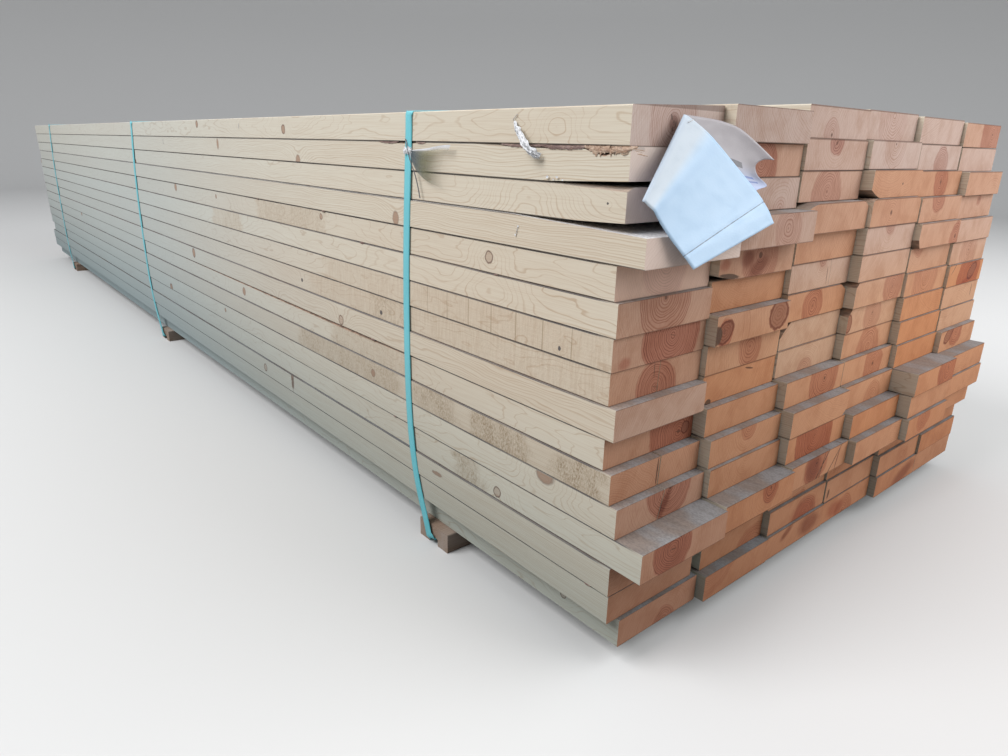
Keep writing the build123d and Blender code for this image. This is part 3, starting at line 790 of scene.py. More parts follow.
@dataclass(frozen=True)
class BoardWood:
    """The sawn softwood of the boards.

    The reaches bring a board's own values to the 0 to 1 of a ramp. The spans are the heights over the lowest
    board, in metres, over which the painted shade low down and the painted warmer light on the lower ends fade
    out.
    """

    side_cream: Colour = (0.73, 0.665, 0.55)
    side_tan: Colour = (0.66, 0.54, 0.415)
    side_grain: Colour = (0.78, 0.68, 0.60)
    # Painted light: the blue-grey of the long side towards its far end
    painted_far_sky_tint: Colour = (0.42, 0.50, 0.52)
    rough_brown: Colour = (0.36, 0.265, 0.17)
    end_pale: Colour = (0.70, 0.565, 0.51)
    end_orange: Colour = (0.677, 0.289, 0.108)
    end_grain: Colour = (0.78, 0.66, 0.58)
    heart: Colour = (0.76, 0.53, 0.49)
    heart_grain: Colour = (0.52, 0.36, 0.32)
    check: Colour = (0.12, 0.06, 0.04)
    knot: Colour = (0.36, 0.215, 0.145)
    knot_rim: Colour = (0.17, 0.10, 0.075)
    end_knot: Colour = (0.30, 0.125, 0.085)
    # Painted shade in the gaps between courses and in the knot holes
    joint: Colour = (0.13, 0.115, 0.11)
    bark: Colour = (0.20, 0.125, 0.09)
    # Top faces: weathered brown and grey, painted dark as painted shade
    painted_shade_top_brown: Colour = (0.235, 0.17, 0.15)
    painted_shade_top_grey: Colour = (0.275, 0.265, 0.28)
    # Painted light on the tops of the listed courses on the long side
    painted_top_sky_light: Colour = (0.86, 0.86, 0.88)
    # Painted light on the long-side ends beside the tag
    painted_end_light: Colour = (0.88, 0.765, 0.69)
    # Painted shade low down, on the sides and on the ends
    painted_low_shade: Colour = (0.42, 0.52, 0.58)
    painted_low_end_shade: Colour = (0.60, 0.52, 0.48)
    # Painted warmer light on the ends of the lower courses
    painted_warm_end_light: Colour = (1.0, 0.85, 0.66)
    pith_reach: float = 400.0
    heart_reach: float = 200.0
    ring_reach: float = 10.0
    rise_scale: float = 10.0
    rise_offset: float = 0.001
    stand_reach: float = 0.2
    width_reach: float = 1.25
    patch_fade: float = 15.0
    side_ring: float = 0.62
    branch_gap: float = 0.62
    low_shade_span: tuple[float, float] = (-0.15, 0.46)
    warm_light_span: tuple[float, float] = (0.38, 0.60)
    # Reach and strength of the painted shade that darkens the ends towards the long side
    outer_shade_reach: float = 0.75
    outer_shade_share: float = 0.28
    relief: float = 0.0008
    arris: float = 0.0042

    def material(self, groups: Groups, stack: Stack, course: int) -> bpy.types.Material:
        """Build the wood of one course.

        Args:
            groups: the shared shader groups.
            stack: where the boards lie.
            course: which course; 0 is the lowest.

        Returns:
            The material.
        """
        row = COURSES - course
        cuts = [Cut(*values) for values in CUTS[row - 1]]
        material, graph, shader = new_material(f"Board wood {course + 1:02d}")
        here = graph.add("ShaderNodeTexCoord")
        x, y, z = graph.split(here.outputs["Object"])
        facing = here.outputs["Normal"]
        facing_x, facing_y, facing_z = graph.split(facing)
        on_end = graph.step(graph.size(facing_x), 0.6, 0.8)
        on_side = graph.step(graph.size(facing_y), 0.88, 0.97)
        places = stack.places[course]
        lowest = min(place.bottom for place in places)
        column: Value = 0.0
        for place, following in zip(places, places[1:]):
            column = graph.plus(column, graph.math("GREATER_THAN", y, (place.right + following.left) / 2))
        first = graph.math("COMPARE", column, 0.0, 0.5)
        read = graph.math("DIVIDE", graph.plus(column, 0.5), float(COLUMNS))

        def lookup(values: Callable[[int], Sequence[float]]) -> tuple[bpy.types.NodeSocket, ...]:
            """Read four values of the board that a point is on."""
            node = graph.ramp(read, [(index / COLUMNS, values(index)) for index in range(COLUMNS)], held=True)
            return (*graph.split(node.outputs["Color"]), node.outputs["Alpha"])

        pith_y, pith_z, heart, ring = lookup(lambda index: (
            0.5 + cuts[index].right / (2 * self.pith_reach), 0.5 + cuts[index].up / (2 * self.pith_reach),
            cuts[index].heart / self.heart_reach, cuts[index].ring / self.ring_reach))
        tone, red, rise, stand = lookup(lambda index: (
            cuts[index].tone, cuts[index].red,
            (places[index].bottom - lowest + self.rise_offset) * self.rise_scale,
            0.5 + (places[index].near_x - stack.near_plane) / self.stand_reach))
        middle, half, _, _ = lookup(lambda index: (
            ((places[index].left + places[index].right) / 2 - stack.long_side) / self.width_reach,
            places[index].right - places[index].left, 0.0, 1.0))
        middle = graph.math("MULTIPLY_ADD", middle, self.width_reach, stack.long_side)
        half = graph.times(half, 0.5)
        reach = 2 * self.pith_reach * MM
        pith_y = graph.times(graph.less(pith_y, 0.5), reach)
        pith_z = graph.times(graph.less(pith_z, 0.5), reach)
        heart = graph.times(heart, self.heart_reach * MM)
        widest = self.ring_reach * MM
        ring = graph.times(ring, graph.step(on_end, 0.0, 1.0, self.side_ring * widest, widest))
        local_y = graph.less(y, middle)
        local_z = graph.less(z, graph.math("MULTIPLY_ADD", rise, 1 / self.rise_scale,
                                           lowest + stack.thickness / 2 - self.rise_offset))
        along = graph.less(x, stack.near_plane)
        from_end = graph.less(along, graph.times(graph.less(stand, 0.5), self.stand_reach))
        point = graph.join(from_end, local_y, local_z)
        seed = graph.math("MULTIPLY_ADD", column, 7.31, course * 3.17)
        on_long_side = graph.times(first, graph.times(on_side, graph.step(facing_y, -0.9, 0.0, 1.0, 0.0)))

        branches = graph.use(groups.branches, Point=point, Pith_Y=pith_y, Pith_Z=pith_z,
                             Spacing=self.branch_gap, Seed=seed)
        away = graph.step(from_end, -0.9, -0.5, 1.0, 0.0)
        loose = graph.math("MAXIMUM", graph.less(1.0, first), away)
        loose = graph.times(loose, graph.less(1.0, on_end))
        branch_mask = graph.times(branches.outputs["Mask"], loose)
        branch_rim = graph.times(branches.outputs["Rim"], loose)
        swirl = graph.times(branches.outputs["Swirl"], loose)
        brown: Value = branch_mask
        rim: Value = branch_rim
        hole: Value = 0.0
        for knot in [knot for knot in KNOTS if knot.row == row]:
            spot = graph.use(groups.knot, Along=graph.less(along, knot.along * MM),
                             Up=graph.less(local_z, knot.up * MM - stack.thickness / 2),
                             Size=knot.radius * MM, Shape=knot.shape)
            mask = graph.times(spot.outputs["Mask"], on_long_side)
            swirl = graph.plus(swirl, graph.times(spot.outputs["Swirl"], on_long_side))
            if knot.kind is KnotKind.HOLE:
                hole = mask if hole == 0.0 else graph.largest(hole, mask)
            if knot.kind in KNOT_TONES:
                share, rim_share = KNOT_TONES[knot.kind]
                brown = graph.largest(brown, graph.times(mask, share))
                own_rim = graph.times(spot.outputs["Rim"], on_long_side)
                rim = graph.largest(rim, graph.times(own_rim, rim_share))
        rings = graph.use(groups.rings, Point=point, Facing=facing, Pith_Y=pith_y, Pith_Z=pith_z, Ring=ring,
                          Seed=seed, Swirl=swirl)
        late = rings.outputs["Late Wood"]
        radius = rings.outputs["Radius"]

        colour, side_height = self.side_colour(graph, groups, row, point, along, local_z, on_long_side, first,
                                               tone, late, seed)
        end, end_height = self.end_colour(graph, groups, point, tone, red, heart, radius, late,
                                          rings.outputs["Turn"], seed)
        near_end = graph.times(on_end, graph.math("GREATER_THAN", facing_x, 0.0))
        for mark in [mark for mark in END_MARKS if mark.row == row]:
            here_only = graph.times(near_end, graph.math("COMPARE", column, mark.column - 1.0, 0.5))
            end = self.marked(graph, groups, mark, local_y, local_z, here_only, end)
        colour = graph.mix(on_end, colour, end)
        colour = graph.mix(graph.times(brown, 0.8), colour, self.knot)
        colour = graph.mix(graph.times(rim, 0.85), colour, self.knot_rim)
        # Painted shade in the knot holes.
        if hole != 0.0:
            colour = graph.mix(hole, colour, self.joint)

        wide = graph.plus(graph.size(local_y), self.arris)
        at_edge = graph.math("GREATER_THAN", wide, half)
        at_face = graph.math("GREATER_THAN", graph.size(local_z), stack.thickness / 2 - self.arris / 2)
        skew = graph.times(graph.less(1.0, on_side), graph.less(1.0, on_end))
        skew = graph.times(skew, graph.step(graph.size(facing_z), 0.88, 0.98, 1.0, 0.0))
        arris = graph.times(graph.times(at_edge, at_face), skew)
        wane = graph.times(graph.less(skew, arris), 0.9)
        bark_spread = graph.noise(graph.stretched(point, (60.0, 150.0, 150.0)), 1.0, 1.0)
        bark = graph.mix(graph.step(bark_spread, 0.35, 0.65), self.bark,
                         tuple(value * 2.1 for value in self.bark))
        colour = graph.mix(wane, colour, bark)
        upwards = graph.step(facing_z, 0.9, 0.98)
        patches = graph.noise(graph.stretched(point, (7.0, 13.0, 13.0)), 1.0, 2.0, 0.6)
        speckle = graph.noise(graph.stretched(point, (240.0, 420.0, 420.0)), 1.0, 1.0)
        streak = graph.noise(graph.stretched(point, (16.0, 150.0, 150.0)), 1.0, 2.0, 0.6)
        # Top faces: weathered brown and grey, painted dark as painted shade for the shadow that the tops lie
        # in.
        top = graph.mix(graph.step(patches, 0.42, 0.58), self.painted_shade_top_brown, self.painted_shade_top_grey)
        # Painted light: pale tops on the long side of the listed courses, for the sky light in the gap under
        # the board above.
        if row in PAINTED_LIGHT_TOPS:
            top = graph.mix(first, top, self.painted_top_sky_light)
        top = graph.darken(graph.step(streak, 0.35, 0.7, 0.0, 0.6), top, (0.72, 0.70, 0.72))
        top = graph.darken(graph.step(speckle, 0.35, 0.7), top, (0.66, 0.66, 0.68))
        top = graph.mix(0.15, top, colour)
        colour = graph.mix(upwards, colour, top)
        if course == COURSES - 1:
            arris = graph.times(arris, graph.step(facing_z, -0.2, 0.2, 1.0, 0.0))
        # Painted shade on the chamfers in the gaps between boards, over their real shade, weaker at the very
        # near end.
        gap_noise = graph.noise(graph.join(graph.times(along, 5.0), seed, 0.0), 1.0, 2.0, 0.6)
        open_gap = graph.times(graph.step(from_end, -0.04, -0.004, 1.0, 0.35),
                               graph.step(gap_noise, 0.3, 0.7, 0.7, 1.0))
        colour = graph.mix(graph.times(arris, open_gap), colour, self.joint)

        # Painted shade: the sides and the ends get darker towards the bottom of the bundle.
        dark_to, clear_from = (stack.base + height for height in self.low_shade_span)
        low = graph.step(z, dark_to, clear_from, 1.0, 0.0)
        colour = graph.darken(low, colour, graph.mix(on_end, self.painted_low_shade, self.painted_low_end_shade))
        # Painted light: the ends of the lower courses are tinted warmer for the warmer light on them, less so
        # in the column on the long side.
        warm_light_full_to, warm_light_clear_from = (stack.base + height for height in self.warm_light_span)
        warm_light_share = graph.times(on_end, graph.step(z, warm_light_full_to, warm_light_clear_from, 1.0, 0.0))
        warm_light_share = graph.times(warm_light_share, graph.math("MULTIPLY_ADD", first, -0.6, 1.0))
        colour = graph.darken(warm_light_share, colour, self.painted_warm_end_light)
        # Painted shade: the ends get darker towards the long side.
        inner_edge = stack.long_side + self.outer_shade_reach
        outer_end_shade = graph.times(on_end, graph.step(y, stack.long_side, inner_edge, self.outer_shade_share, 0.0))
        # Painted light: the long-side ends beside the tag are painted paler against the tag's shadow, and lose
        # the painted shade towards the long side.
        if row in TAG_SIDE_END_LIGHT:
            share = TAG_SIDE_END_LIGHT[row]
            colour = graph.mix(graph.times(graph.times(on_end, first), share), colour, self.painted_end_light)
            outer_end_shade = graph.times(outer_end_shade, graph.math("MULTIPLY_ADD", first, -min(1.0, 5 * share), 1.0))
        colour = graph.darken(outer_end_shade, colour, (0.0, 0.0, 0.0))
        graph.feed(shader.inputs["Base Color"], colour)
        graph.feed(shader.inputs["Roughness"], graph.step(late, 0.0, 1.0, 0.8, 0.68))
        graph.feed(shader.inputs["Specular IOR Level"], 0.3)
        mixed = graph.plus(graph.times(side_height, graph.less(1.0, on_end)), graph.times(end_height, on_end))
        bump(graph, shader, mixed, self.relief, 0.45)
        return material

    def marked(self, graph: Graph, groups: Groups, mark: EndMark, across: Value, up: Value, here_only: Value,
               colour: Value) -> Value:
        """Set one mark on the colour of an end.

        Args:
            graph: the material's graph.
            groups: the shared shader groups.
            mark: the mark.
            across: the distance right of the board's middle.
            up: the distance above it.
            here_only: 1 on the end that carries the mark.
            colour: the colour so far.

        Returns:
            The colour with the mark.
        """
        soft = 0.5 if mark.kind in (MarkKind.STAIN, MarkKind.DARK) else 0.12
        spot = graph.use(groups.mark, Across=graph.less(across, mark.right * MM),
                         Up=graph.less(up, mark.up * MM), Half_Width=mark.half_width * MM,
                         Half_Height=mark.half_height * MM, Lean=math.radians(mark.lean), Soft=soft)
        inside = graph.times(spot.outputs["Mask"], here_only)
        if mark.kind is MarkKind.STAIN:
            return graph.darken(graph.times(inside, 0.85), colour, self.heart)
        if mark.kind is MarkKind.DARK:
            return graph.darken(graph.times(inside, 0.9), colour, self.heart_grain)
        if mark.kind is MarkKind.CRACK:
            return graph.mix(graph.times(inside, 0.9), colour, self.check)
        if mark.kind is MarkKind.BARK:
            return graph.mix(graph.times(inside, 0.9), colour, tuple(value * 0.5 for value in self.bark))
        colour = graph.mix(graph.times(inside, 0.72), colour, self.end_knot)
        colour = graph.darken(graph.times(spot.outputs["Rings"], inside), colour, self.end_grain)
        return graph.darken(graph.times(spot.outputs["Rim"], here_only), colour, self.heart_grain)

    def side_colour(self, graph: Graph, groups: Groups, row: int, point: Value, along: Value, local_z: Value,
                    on_long_side: Value, first: Value, tone: Value, late: Value, seed: Value
                    ) -> tuple[Value, Value]:
        """Build the colour and height of the sawn faces along a board.

        Args:
            graph: the material's graph.
            groups: the shared shader groups.
            row: the course, counted from the top.
            point: the place on the board, from its near end and its middle.
            along: the distance from the near end plane.
            local_z: the height above the board's middle.
            on_long_side: 1 on the long side's faces.
            first: 1 in the column along the long side.
            tone: the board's tone.
            late: the late wood lines.
            seed: the board's own number.

        Returns:
            The colour and the height.
        """
        own_tan = graph.plus(graph.times(first, SIDE_TANS[row - 1]),
                             graph.times(graph.less(1.0, first), graph.times(tone, 0.7)))
        spread = graph.vector("ADD", graph.stretched(point, (1.6, 6.0, 6.0)), graph.join(seed, 0.0, 0.0))
        broad = graph.noise(spread, 1.0, 3.0)
        tan = graph.math("ADD", own_tan, graph.swing(broad, 0.9), clamp=True)
        colour = graph.mix(tan, self.side_cream, self.side_tan)
        fibre = graph.noise(graph.stretched(point, (11.0, 640.0, 640.0)), 1.0, 2.0, 0.6)
        colour = graph.darken(graph.times(late, 0.85), colour, self.side_grain)
        colour = graph.darken(graph.step(fibre, 0.35, 0.75, 0.0, 0.35), colour, self.side_grain)
        # Painted light: the long side turns blue-grey towards the far end for the cool sky light there, more
        # so on the lower rows.
        distance = graph.step(along, -2.4, -0.2, 1.0, 0.0)
        colour = graph.mix(graph.times(distance, min(0.7, 0.38 + 0.05 * row)), colour, self.painted_far_sky_tint)

        marks = graph.use(groups.saw, Along=along, Across=local_z, Pitch=0.0031, Seed=seed)
        torn = graph.step(marks.outputs["Fuzz"], 0.38, 0.66)
        wander = graph.swing(graph.noise(graph.stretched(point, (30.0, 60.0, 60.0)), 1.0, 2.0), 0.07)
        edge = graph.plus(along, wander)
        rough: Value = graph.times(graph.step(broad, 0.60, 0.68), graph.less(1.0, on_long_side))
        brown: Value = graph.times(rough, 0.35)
        for patch in [patch for patch in ROUGH_PATCHES if patch.row == row]:
            limits = [place + side * self.patch_fade for place in (patch.start, patch.end) for side in (-1, 1)]
            inside = graph.times(graph.band(edge, *(limit * MM for limit in limits)), on_long_side)
            rough = graph.largest(rough, inside)
            brown = graph.largest(brown, graph.times(inside, patch.brown))
        blotch = graph.noise(graph.stretched(point, (45.0, 28.0, 28.0)), 1.0, 2.0)
        colour = graph.mix(graph.times(rough, 0.22), colour, self.side_tan)
        browned = graph.times(torn, graph.step(blotch, 0.3, 0.65, 0.35, 1.0))
        colour = graph.mix(graph.times(brown, browned), colour, self.rough_brown)
        streaks = graph.step(marks.outputs["Streaks"], 0.4, 0.7)
        colour = graph.darken(graph.times(rough, graph.times(streaks, 0.35)), colour, self.side_grain)
        height = graph.plus(graph.times(late, 0.15), graph.times(graph.times(rough, torn), 0.7))
        if row == SCORED_ROW:
            score = graph.math("FRACT", graph.math("DIVIDE", graph.plus(along, SCORE_SHIFT), SCORE_GAP))
            line = graph.step(graph.size(graph.less(score, 0.5)), 0.0, 0.025, 1.0, 0.0)
            start, end = SCORED_STRETCH
            stretch = graph.band(along, start - 0.01, start + 0.01, end - 0.01, end + 0.01)
            line = graph.times(graph.times(line, stretch), on_long_side)
            worn = graph.step(blotch, 0.3, 0.6, 0.5, 0.95)
            colour = graph.mix(graph.times(line, worn), colour, self.rough_brown)
            height = graph.less(height, graph.times(line, 0.8))
        return colour, height

    def end_colour(self, graph: Graph, groups: Groups, point: Value, tone: Value, red: Value, heart: Value,
                   radius: Value, late: Value, turn: Value, seed: Value) -> tuple[Value, Value]:
        """Build the colour and height of the cut ends.

        Args:
            graph: the material's graph.
            groups: the shared shader groups.
            point: the place on the board, from its near end and its middle.
            tone: the board's tone.
            red: how strongly its heart is coloured.
            heart: the heart's radius.
            radius: the distance from the pith.
            late: the late wood lines.
            turn: the angle round the pith.
            seed: the board's own number.

        Returns:
            The colour and the height.
        """
        _, across, up = graph.split(point)
        colour = graph.mix(tone, self.end_pale, self.end_orange)
        edge = graph.swing(graph.noise(graph.stretched(point, (1.0, 26.0, 26.0)), 1.0, 3.0), 0.014)
        in_heart = graph.step(graph.less(graph.plus(radius, edge), heart), -0.003, 0.003, 1.0, 0.0)
        has_heart = graph.math("GREATER_THAN", heart, 0.002)
        in_heart = graph.times(in_heart, has_heart)
        colour = graph.darken(graph.times(in_heart, red), colour, self.heart)
        ring_share = graph.times(late, graph.math("MULTIPLY_ADD", in_heart, 0.4, 0.6))
        colour = graph.darken(ring_share, colour, self.end_grain)
        colour = graph.darken(graph.times(graph.times(late, in_heart), red), colour, self.heart_grain)
        pith = graph.times(graph.step(radius, 0.0008, 0.0022, 1.0, 0.0), has_heart)
        crack_turn = graph.math("SINE", graph.math("MULTIPLY_ADD", turn, 1.0, seed))
        crack_width = graph.times(graph.size(crack_turn), radius)
        crack = graph.times(graph.step(crack_width, 0.0003, 0.0011, 1.0, 0.0),
                            graph.step(radius, 0.003, 0.010, 1.0, 0.0))
        crack = graph.times(crack, graph.step(red, 0.6, 0.9))
        colour = graph.mix(graph.times(graph.largest(pith, crack), 0.75), colour, self.check)

        lean = graph.swing(graph.noise(graph.join(seed, 3.0, 0.0), 1.0, 0.0), 1.6)
        slant = graph.plus(across, graph.times(up, graph.less(-0.55, lean)))
        marks = graph.use(groups.saw, Along=slant, Across=up, Pitch=0.0021, Seed=seed)
        streaks = graph.step(marks.outputs["Streaks"], 0.3, 0.72)
        colour = graph.darken(graph.times(streaks, 0.33), colour, self.end_grain)
        pores = graph.noise(graph.stretched(point, (1.0, 900.0, 900.0)), 1.0, 1.0)
        colour = graph.darken(graph.step(pores, 0.45, 0.8, 0.0, 0.4), colour, self.end_grain)
        stain = graph.use(groups.grime, Point=graph.stretched(point, (0.0, 2.2, 2.2)), Amount=0.75, Seed=seed)
        colour = graph.darken(graph.times(stain.outputs["Patches"], 0.5), colour, self.end_grain)
        colour = graph.mix(graph.times(stain.outputs["Specks"], 0.25), colour, self.check)
        # Painted shade along the top and bottom edges of each end, where the joints between courses lie.
        end_edge_shade = graph.less(Stack.thickness / 2, graph.size(up))
        colour = graph.mix(graph.step(end_edge_shade, 0.0003, 0.0014, 0.6, 0.0), colour, self.check)
        height = graph.plus(graph.times(marks.outputs["Streaks"], 0.8), graph.times(late, 0.35))
        return colour, height


@dataclass(frozen=True)
class BolsterWood:
    """Old brown wood of the bolsters."""

    brown: Colour = (0.21, 0.135, 0.095)
    worn: Colour = (0.34, 0.25, 0.19)
    dust: Colour = (0.36, 0.33, 0.30)

    def material(self, groups: Groups) -> bpy.types.Material:
        """Build it.

        Args:
            groups: the shared shader groups.

        Returns:
            The material.
        """
        material, graph, shader = new_material("Bolster wood")
        here = graph.add("ShaderNodeTexCoord")
        x, y, z = graph.split(here.outputs["Object"])
        turned = graph.join(y, x, z)
        rings = graph.use(groups.rings, Point=turned, Facing=here.outputs["Normal"], Pith_Y=0.3, Pith_Z=-0.05,
                          Ring=0.0045, Seed=3.0)
        fibre = graph.noise(graph.stretched(turned, (12.0, 500.0, 500.0)), 1.0, 3.0, 0.65)
        colour = graph.mix(graph.step(fibre, 0.3, 0.75), self.brown, self.worn)
        colour = graph.darken(graph.times(rings.outputs["Late Wood"], 0.7), colour, (0.6, 0.55, 0.5))
        dirt = graph.use(groups.grime, Point=turned, Amount=0.8, Seed=2.0)
        colour = graph.mix(graph.times(dirt.outputs["Patches"], 0.5), colour, self.dust)
        graph.feed(shader.inputs["Base Color"], colour)
        graph.feed(shader.inputs["Roughness"], graph.step(fibre, 0.0, 1.0, 0.95, 0.8))
        bump(graph, shader, fibre, 0.0012, 0.6)
        return material


@dataclass(frozen=True)
class StrapPlastic:
    """Turquoise embossed plastic strap."""

    light: Colour = (0.22, 0.70, 0.80)
    # The strap's darker tone, which also gives its painted shade along the edges and in the embossing
    deep: Colour = (0.06, 0.34, 0.38)
    dust: Colour = (0.45, 0.50, 0.48)
    # Painted shade low down on the strap, and the height where it ends
    painted_low_shade: Colour = (0.55, 0.70, 0.70)
    painted_shade_clear_from: float = 0.62

    def material(self, groups: Groups) -> bpy.types.Material:
        """Build it.

        Args:
            groups: the shared shader groups.

        Returns:
            The material.
        """
        material, graph, shader = new_material("Strap plastic")
        here = graph.add("ShaderNodeTexCoord")
        across, along, _ = graph.split(here.outputs["UV"])
        emboss = graph.use(groups.emboss, Along=along, Across=across, Pitch=0.0032)
        edge = graph.step(graph.size(graph.less(across, 0.0095)), 0.0062, 0.0095)
        fade = graph.noise(graph.join(graph.times(along, 3.0), across, 0.0), 1.0, 3.0)
        colour = graph.mix(graph.step(fade, 0.3, 0.8, 0.0, 0.35), self.light, self.deep)
        # Painted shade along both edges of the strap.
        colour = graph.mix(graph.times(edge, 0.5), colour, self.deep)
        # Painted shade: the strap gets darker towards the bottom.
        height = graph.split(here.outputs["Object"])[2]
        colour = graph.darken(graph.step(height, 0.05, self.painted_shade_clear_from, 1.0, 0.0), colour, self.painted_low_shade)
        # Painted shade in the hollows of the embossing.
        colour = graph.mix(graph.step(emboss.outputs["Height"], 0.2, 0.9, 0.18, 0.0), colour, self.deep)
        scuff = graph.noise(graph.join(graph.times(along, 40.0), graph.times(across, 900.0), 0.0), 1.0, 2.0)
        colour = graph.mix(graph.step(scuff, 0.6, 0.8, 0.0, 0.25), colour, self.dust)
        graph.feed(shader.inputs["Base Color"], colour)
        graph.feed(shader.inputs["Roughness"], graph.step(scuff, 0.3, 0.8, 0.32, 0.55))
        bump(graph, shader, emboss.outputs["Height"], 0.0002, 0.6)
        return material


@dataclass(frozen=True)
class TagSheet:
    """Thin coated sheet, plain on the back and with plain bars on its printed side."""

    back: Colour = (0.51, 0.70, 0.91)
    # The colour of the strip between the fold and the ridge: painted light, for that strip facing the light at
    # another angle
    ridge: Colour = (0.58, 0.66, 0.74)
    # The printed layer: painted shade behind the front layer, and paler and bluer at its lower tip as painted
    # light
    printed: Colour = (0.39, 0.36, 0.38)
    printed_lit_tip: Colour = (0.46, 0.54, 0.78)
    # The painted shadow of the crease
    crease: Colour = (0.16, 0.20, 0.27)
    dark_bar: Colour = (0.09, 0.09, 0.10)
    blue_bar: Colour = (0.13, 0.20, 0.48)

    def material(self) -> bpy.types.Material:
        """Build it. U runs from the fold to the free edges and is negative on the printed layer."""
        material, graph, shader = new_material("Tag sheet")
        here = graph.add("ShaderNodeTexCoord")
        u, v, _ = graph.split(here.outputs["UV"])
        # Painted light: the strip between the fold and the ridge gets its own colour.
        painted_light_strip = graph.step(u, Tag.ridge_at - 0.06, Tag.ridge_at + 0.03, 1.0, 0.0)
        back = graph.mix(painted_light_strip, self.back, self.ridge)
        back = graph.darken(graph.step(u, 0.0, 0.10, 0.8, 0.0), back, (0.86, 0.88, 0.93))
        soil = graph.noise(graph.join(graph.times(u, 9.0), graph.times(v, 7.0), 0.0), 1.0, 4.0)
        back = graph.darken(graph.step(soil, 0.5, 0.75, 0.0, 0.3), back, (0.86, 0.88, 0.90))
        # Painted shadow beside the ridge.
        beside = graph.size(graph.less(u, Tag.ridge_at + 0.06))
        back = graph.darken(graph.step(beside, 0.0, 0.05, 0.5, 0.0), back, (0.84, 0.88, 0.92))
        # Painted shadow along the crease, broken by wear.
        crease = graph.less(u, graph.math("MULTIPLY_ADD", v, Tag.crease_turn, Tag.crease_at))
        fold = graph.step(graph.size(crease), 0.0035, 0.008, 1.0, 0.0)
        worn = graph.noise(graph.join(graph.times(v, 14.0), 2.0, 0.0), 1.0, 2.0)
        back = graph.mix(graph.times(fold, graph.step(worn, 0.3, 0.6, 0.45, 1.0)), back, self.crease)
        printed = self.bars(graph, graph.size(u), v)
        colour = graph.mix(graph.math("LESS_THAN", u, 0.0), back, printed)
        graph.feed(shader.inputs["Base Color"], colour)
        graph.feed(shader.inputs["Roughness"], graph.step(soil, 0.3, 0.7, 0.36, 0.5))
        fine = graph.noise(graph.join(graph.times(u, 60.0), graph.times(v, 45.0), 0.0), 1.0, 2.0)
        bump(graph, shader, fine, 0.0004, 0.25)
        return material

    def bars(self, graph: Graph, u: Value, v: Value) -> Value:
        """Draw plain bars on the printed side.

        Args:
            graph: the material's graph.
            u: from the fold to the free edge.
            v: from the top edge down.

        Returns:
            The colour of the printed side.
        """
        # Painted shade over the printed layer, which gives way to painted light towards its lower tip.
        colour: Value = graph.mix(graph.step(v, 0.35, 0.75), self.printed, self.printed_lit_tip)
        for low, high, start, end, ink in ((0.62, 0.78, 0.40, 0.47, self.dark_bar),
                                           (0.66, 0.86, 0.56, 0.59, self.blue_bar),
                                           (0.70, 0.88, 0.62, 0.645, self.blue_bar)):
            along = graph.times(graph.math("GREATER_THAN", u, low), graph.math("LESS_THAN", u, high))
            beside = graph.times(graph.math("GREATER_THAN", v, start), graph.math("LESS_THAN", v, end))
            inside = graph.times(along, beside)
            colour = graph.mix(graph.times(inside, 0.85), colour, ink)
        return colour


@dataclass(frozen=True)
class WrapFilm:
    """White woven film of the torn wrap.

    U, the first coordinate, goes from a dark roll at -1 over white at 0 to clear at 1, where the film carries
    painted shadow, the dark of its own shadow on the boards. V is how far the clear part has spread from the
    strap.
    """

    white: Colour = (0.80, 0.81, 0.84)
    # Painted shade in the crumples of the film
    crease: Colour = (0.52, 0.54, 0.58)
    rolled: Colour = (0.11, 0.11, 0.12)
    # Painted shadow seen through the clear film, darkest near the strap
    film_shadow_near: Colour = (0.08, 0.11, 0.13)
    film_shadow_far: Colour = (0.20, 0.20, 0.11)

    def material(self, groups: Groups) -> bpy.types.Material:
        """Build it.

        Args:
            groups: the shared shader groups.

        Returns:
            The material.
        """
        material, graph, shader = new_material("Wrap film")
        here = graph.add("ShaderNodeTexCoord")
        clear, spread, _ = graph.split(here.outputs["UV"])
        x, y, z = graph.split(here.outputs["Object"])
        weave = graph.use(groups.emboss, Along=x, Across=z, Pitch=0.0024)
        folds = graph.noise(graph.join(x, y, z), 380.0, 2.0)
        # Painted shade in the crumples.
        colour = graph.mix(graph.step(folds, 0.5, 0.75, 0.0, 0.6), self.white, self.crease)
        # Painted shadow on the clear film, darkest near the strap.
        painted_film_shadow = graph.mix(graph.step(spread, 0.1, 0.55), self.film_shadow_near, self.film_shadow_far)
        colour = graph.mix(graph.step(clear, 0.3, 0.9), colour, painted_film_shadow)
        colour = graph.mix(graph.step(clear, -0.9, -0.3, 1.0, 0.0), colour, self.rolled)
        graph.feed(shader.inputs["Base Color"], colour)
        graph.feed(shader.inputs["Roughness"], graph.step(folds, 0.2, 0.8, 0.2, 0.45))
        seen_through = graph.times(graph.step(clear, 0.0, 1.0), graph.step(spread, 0.2, 1.0, 0.2, 0.95))
        graph.feed(shader.inputs["Alpha"], graph.less(1.0, seen_through))
        bump(graph, shader, weave.outputs["Height"], 0.0002, 0.5)
        return material


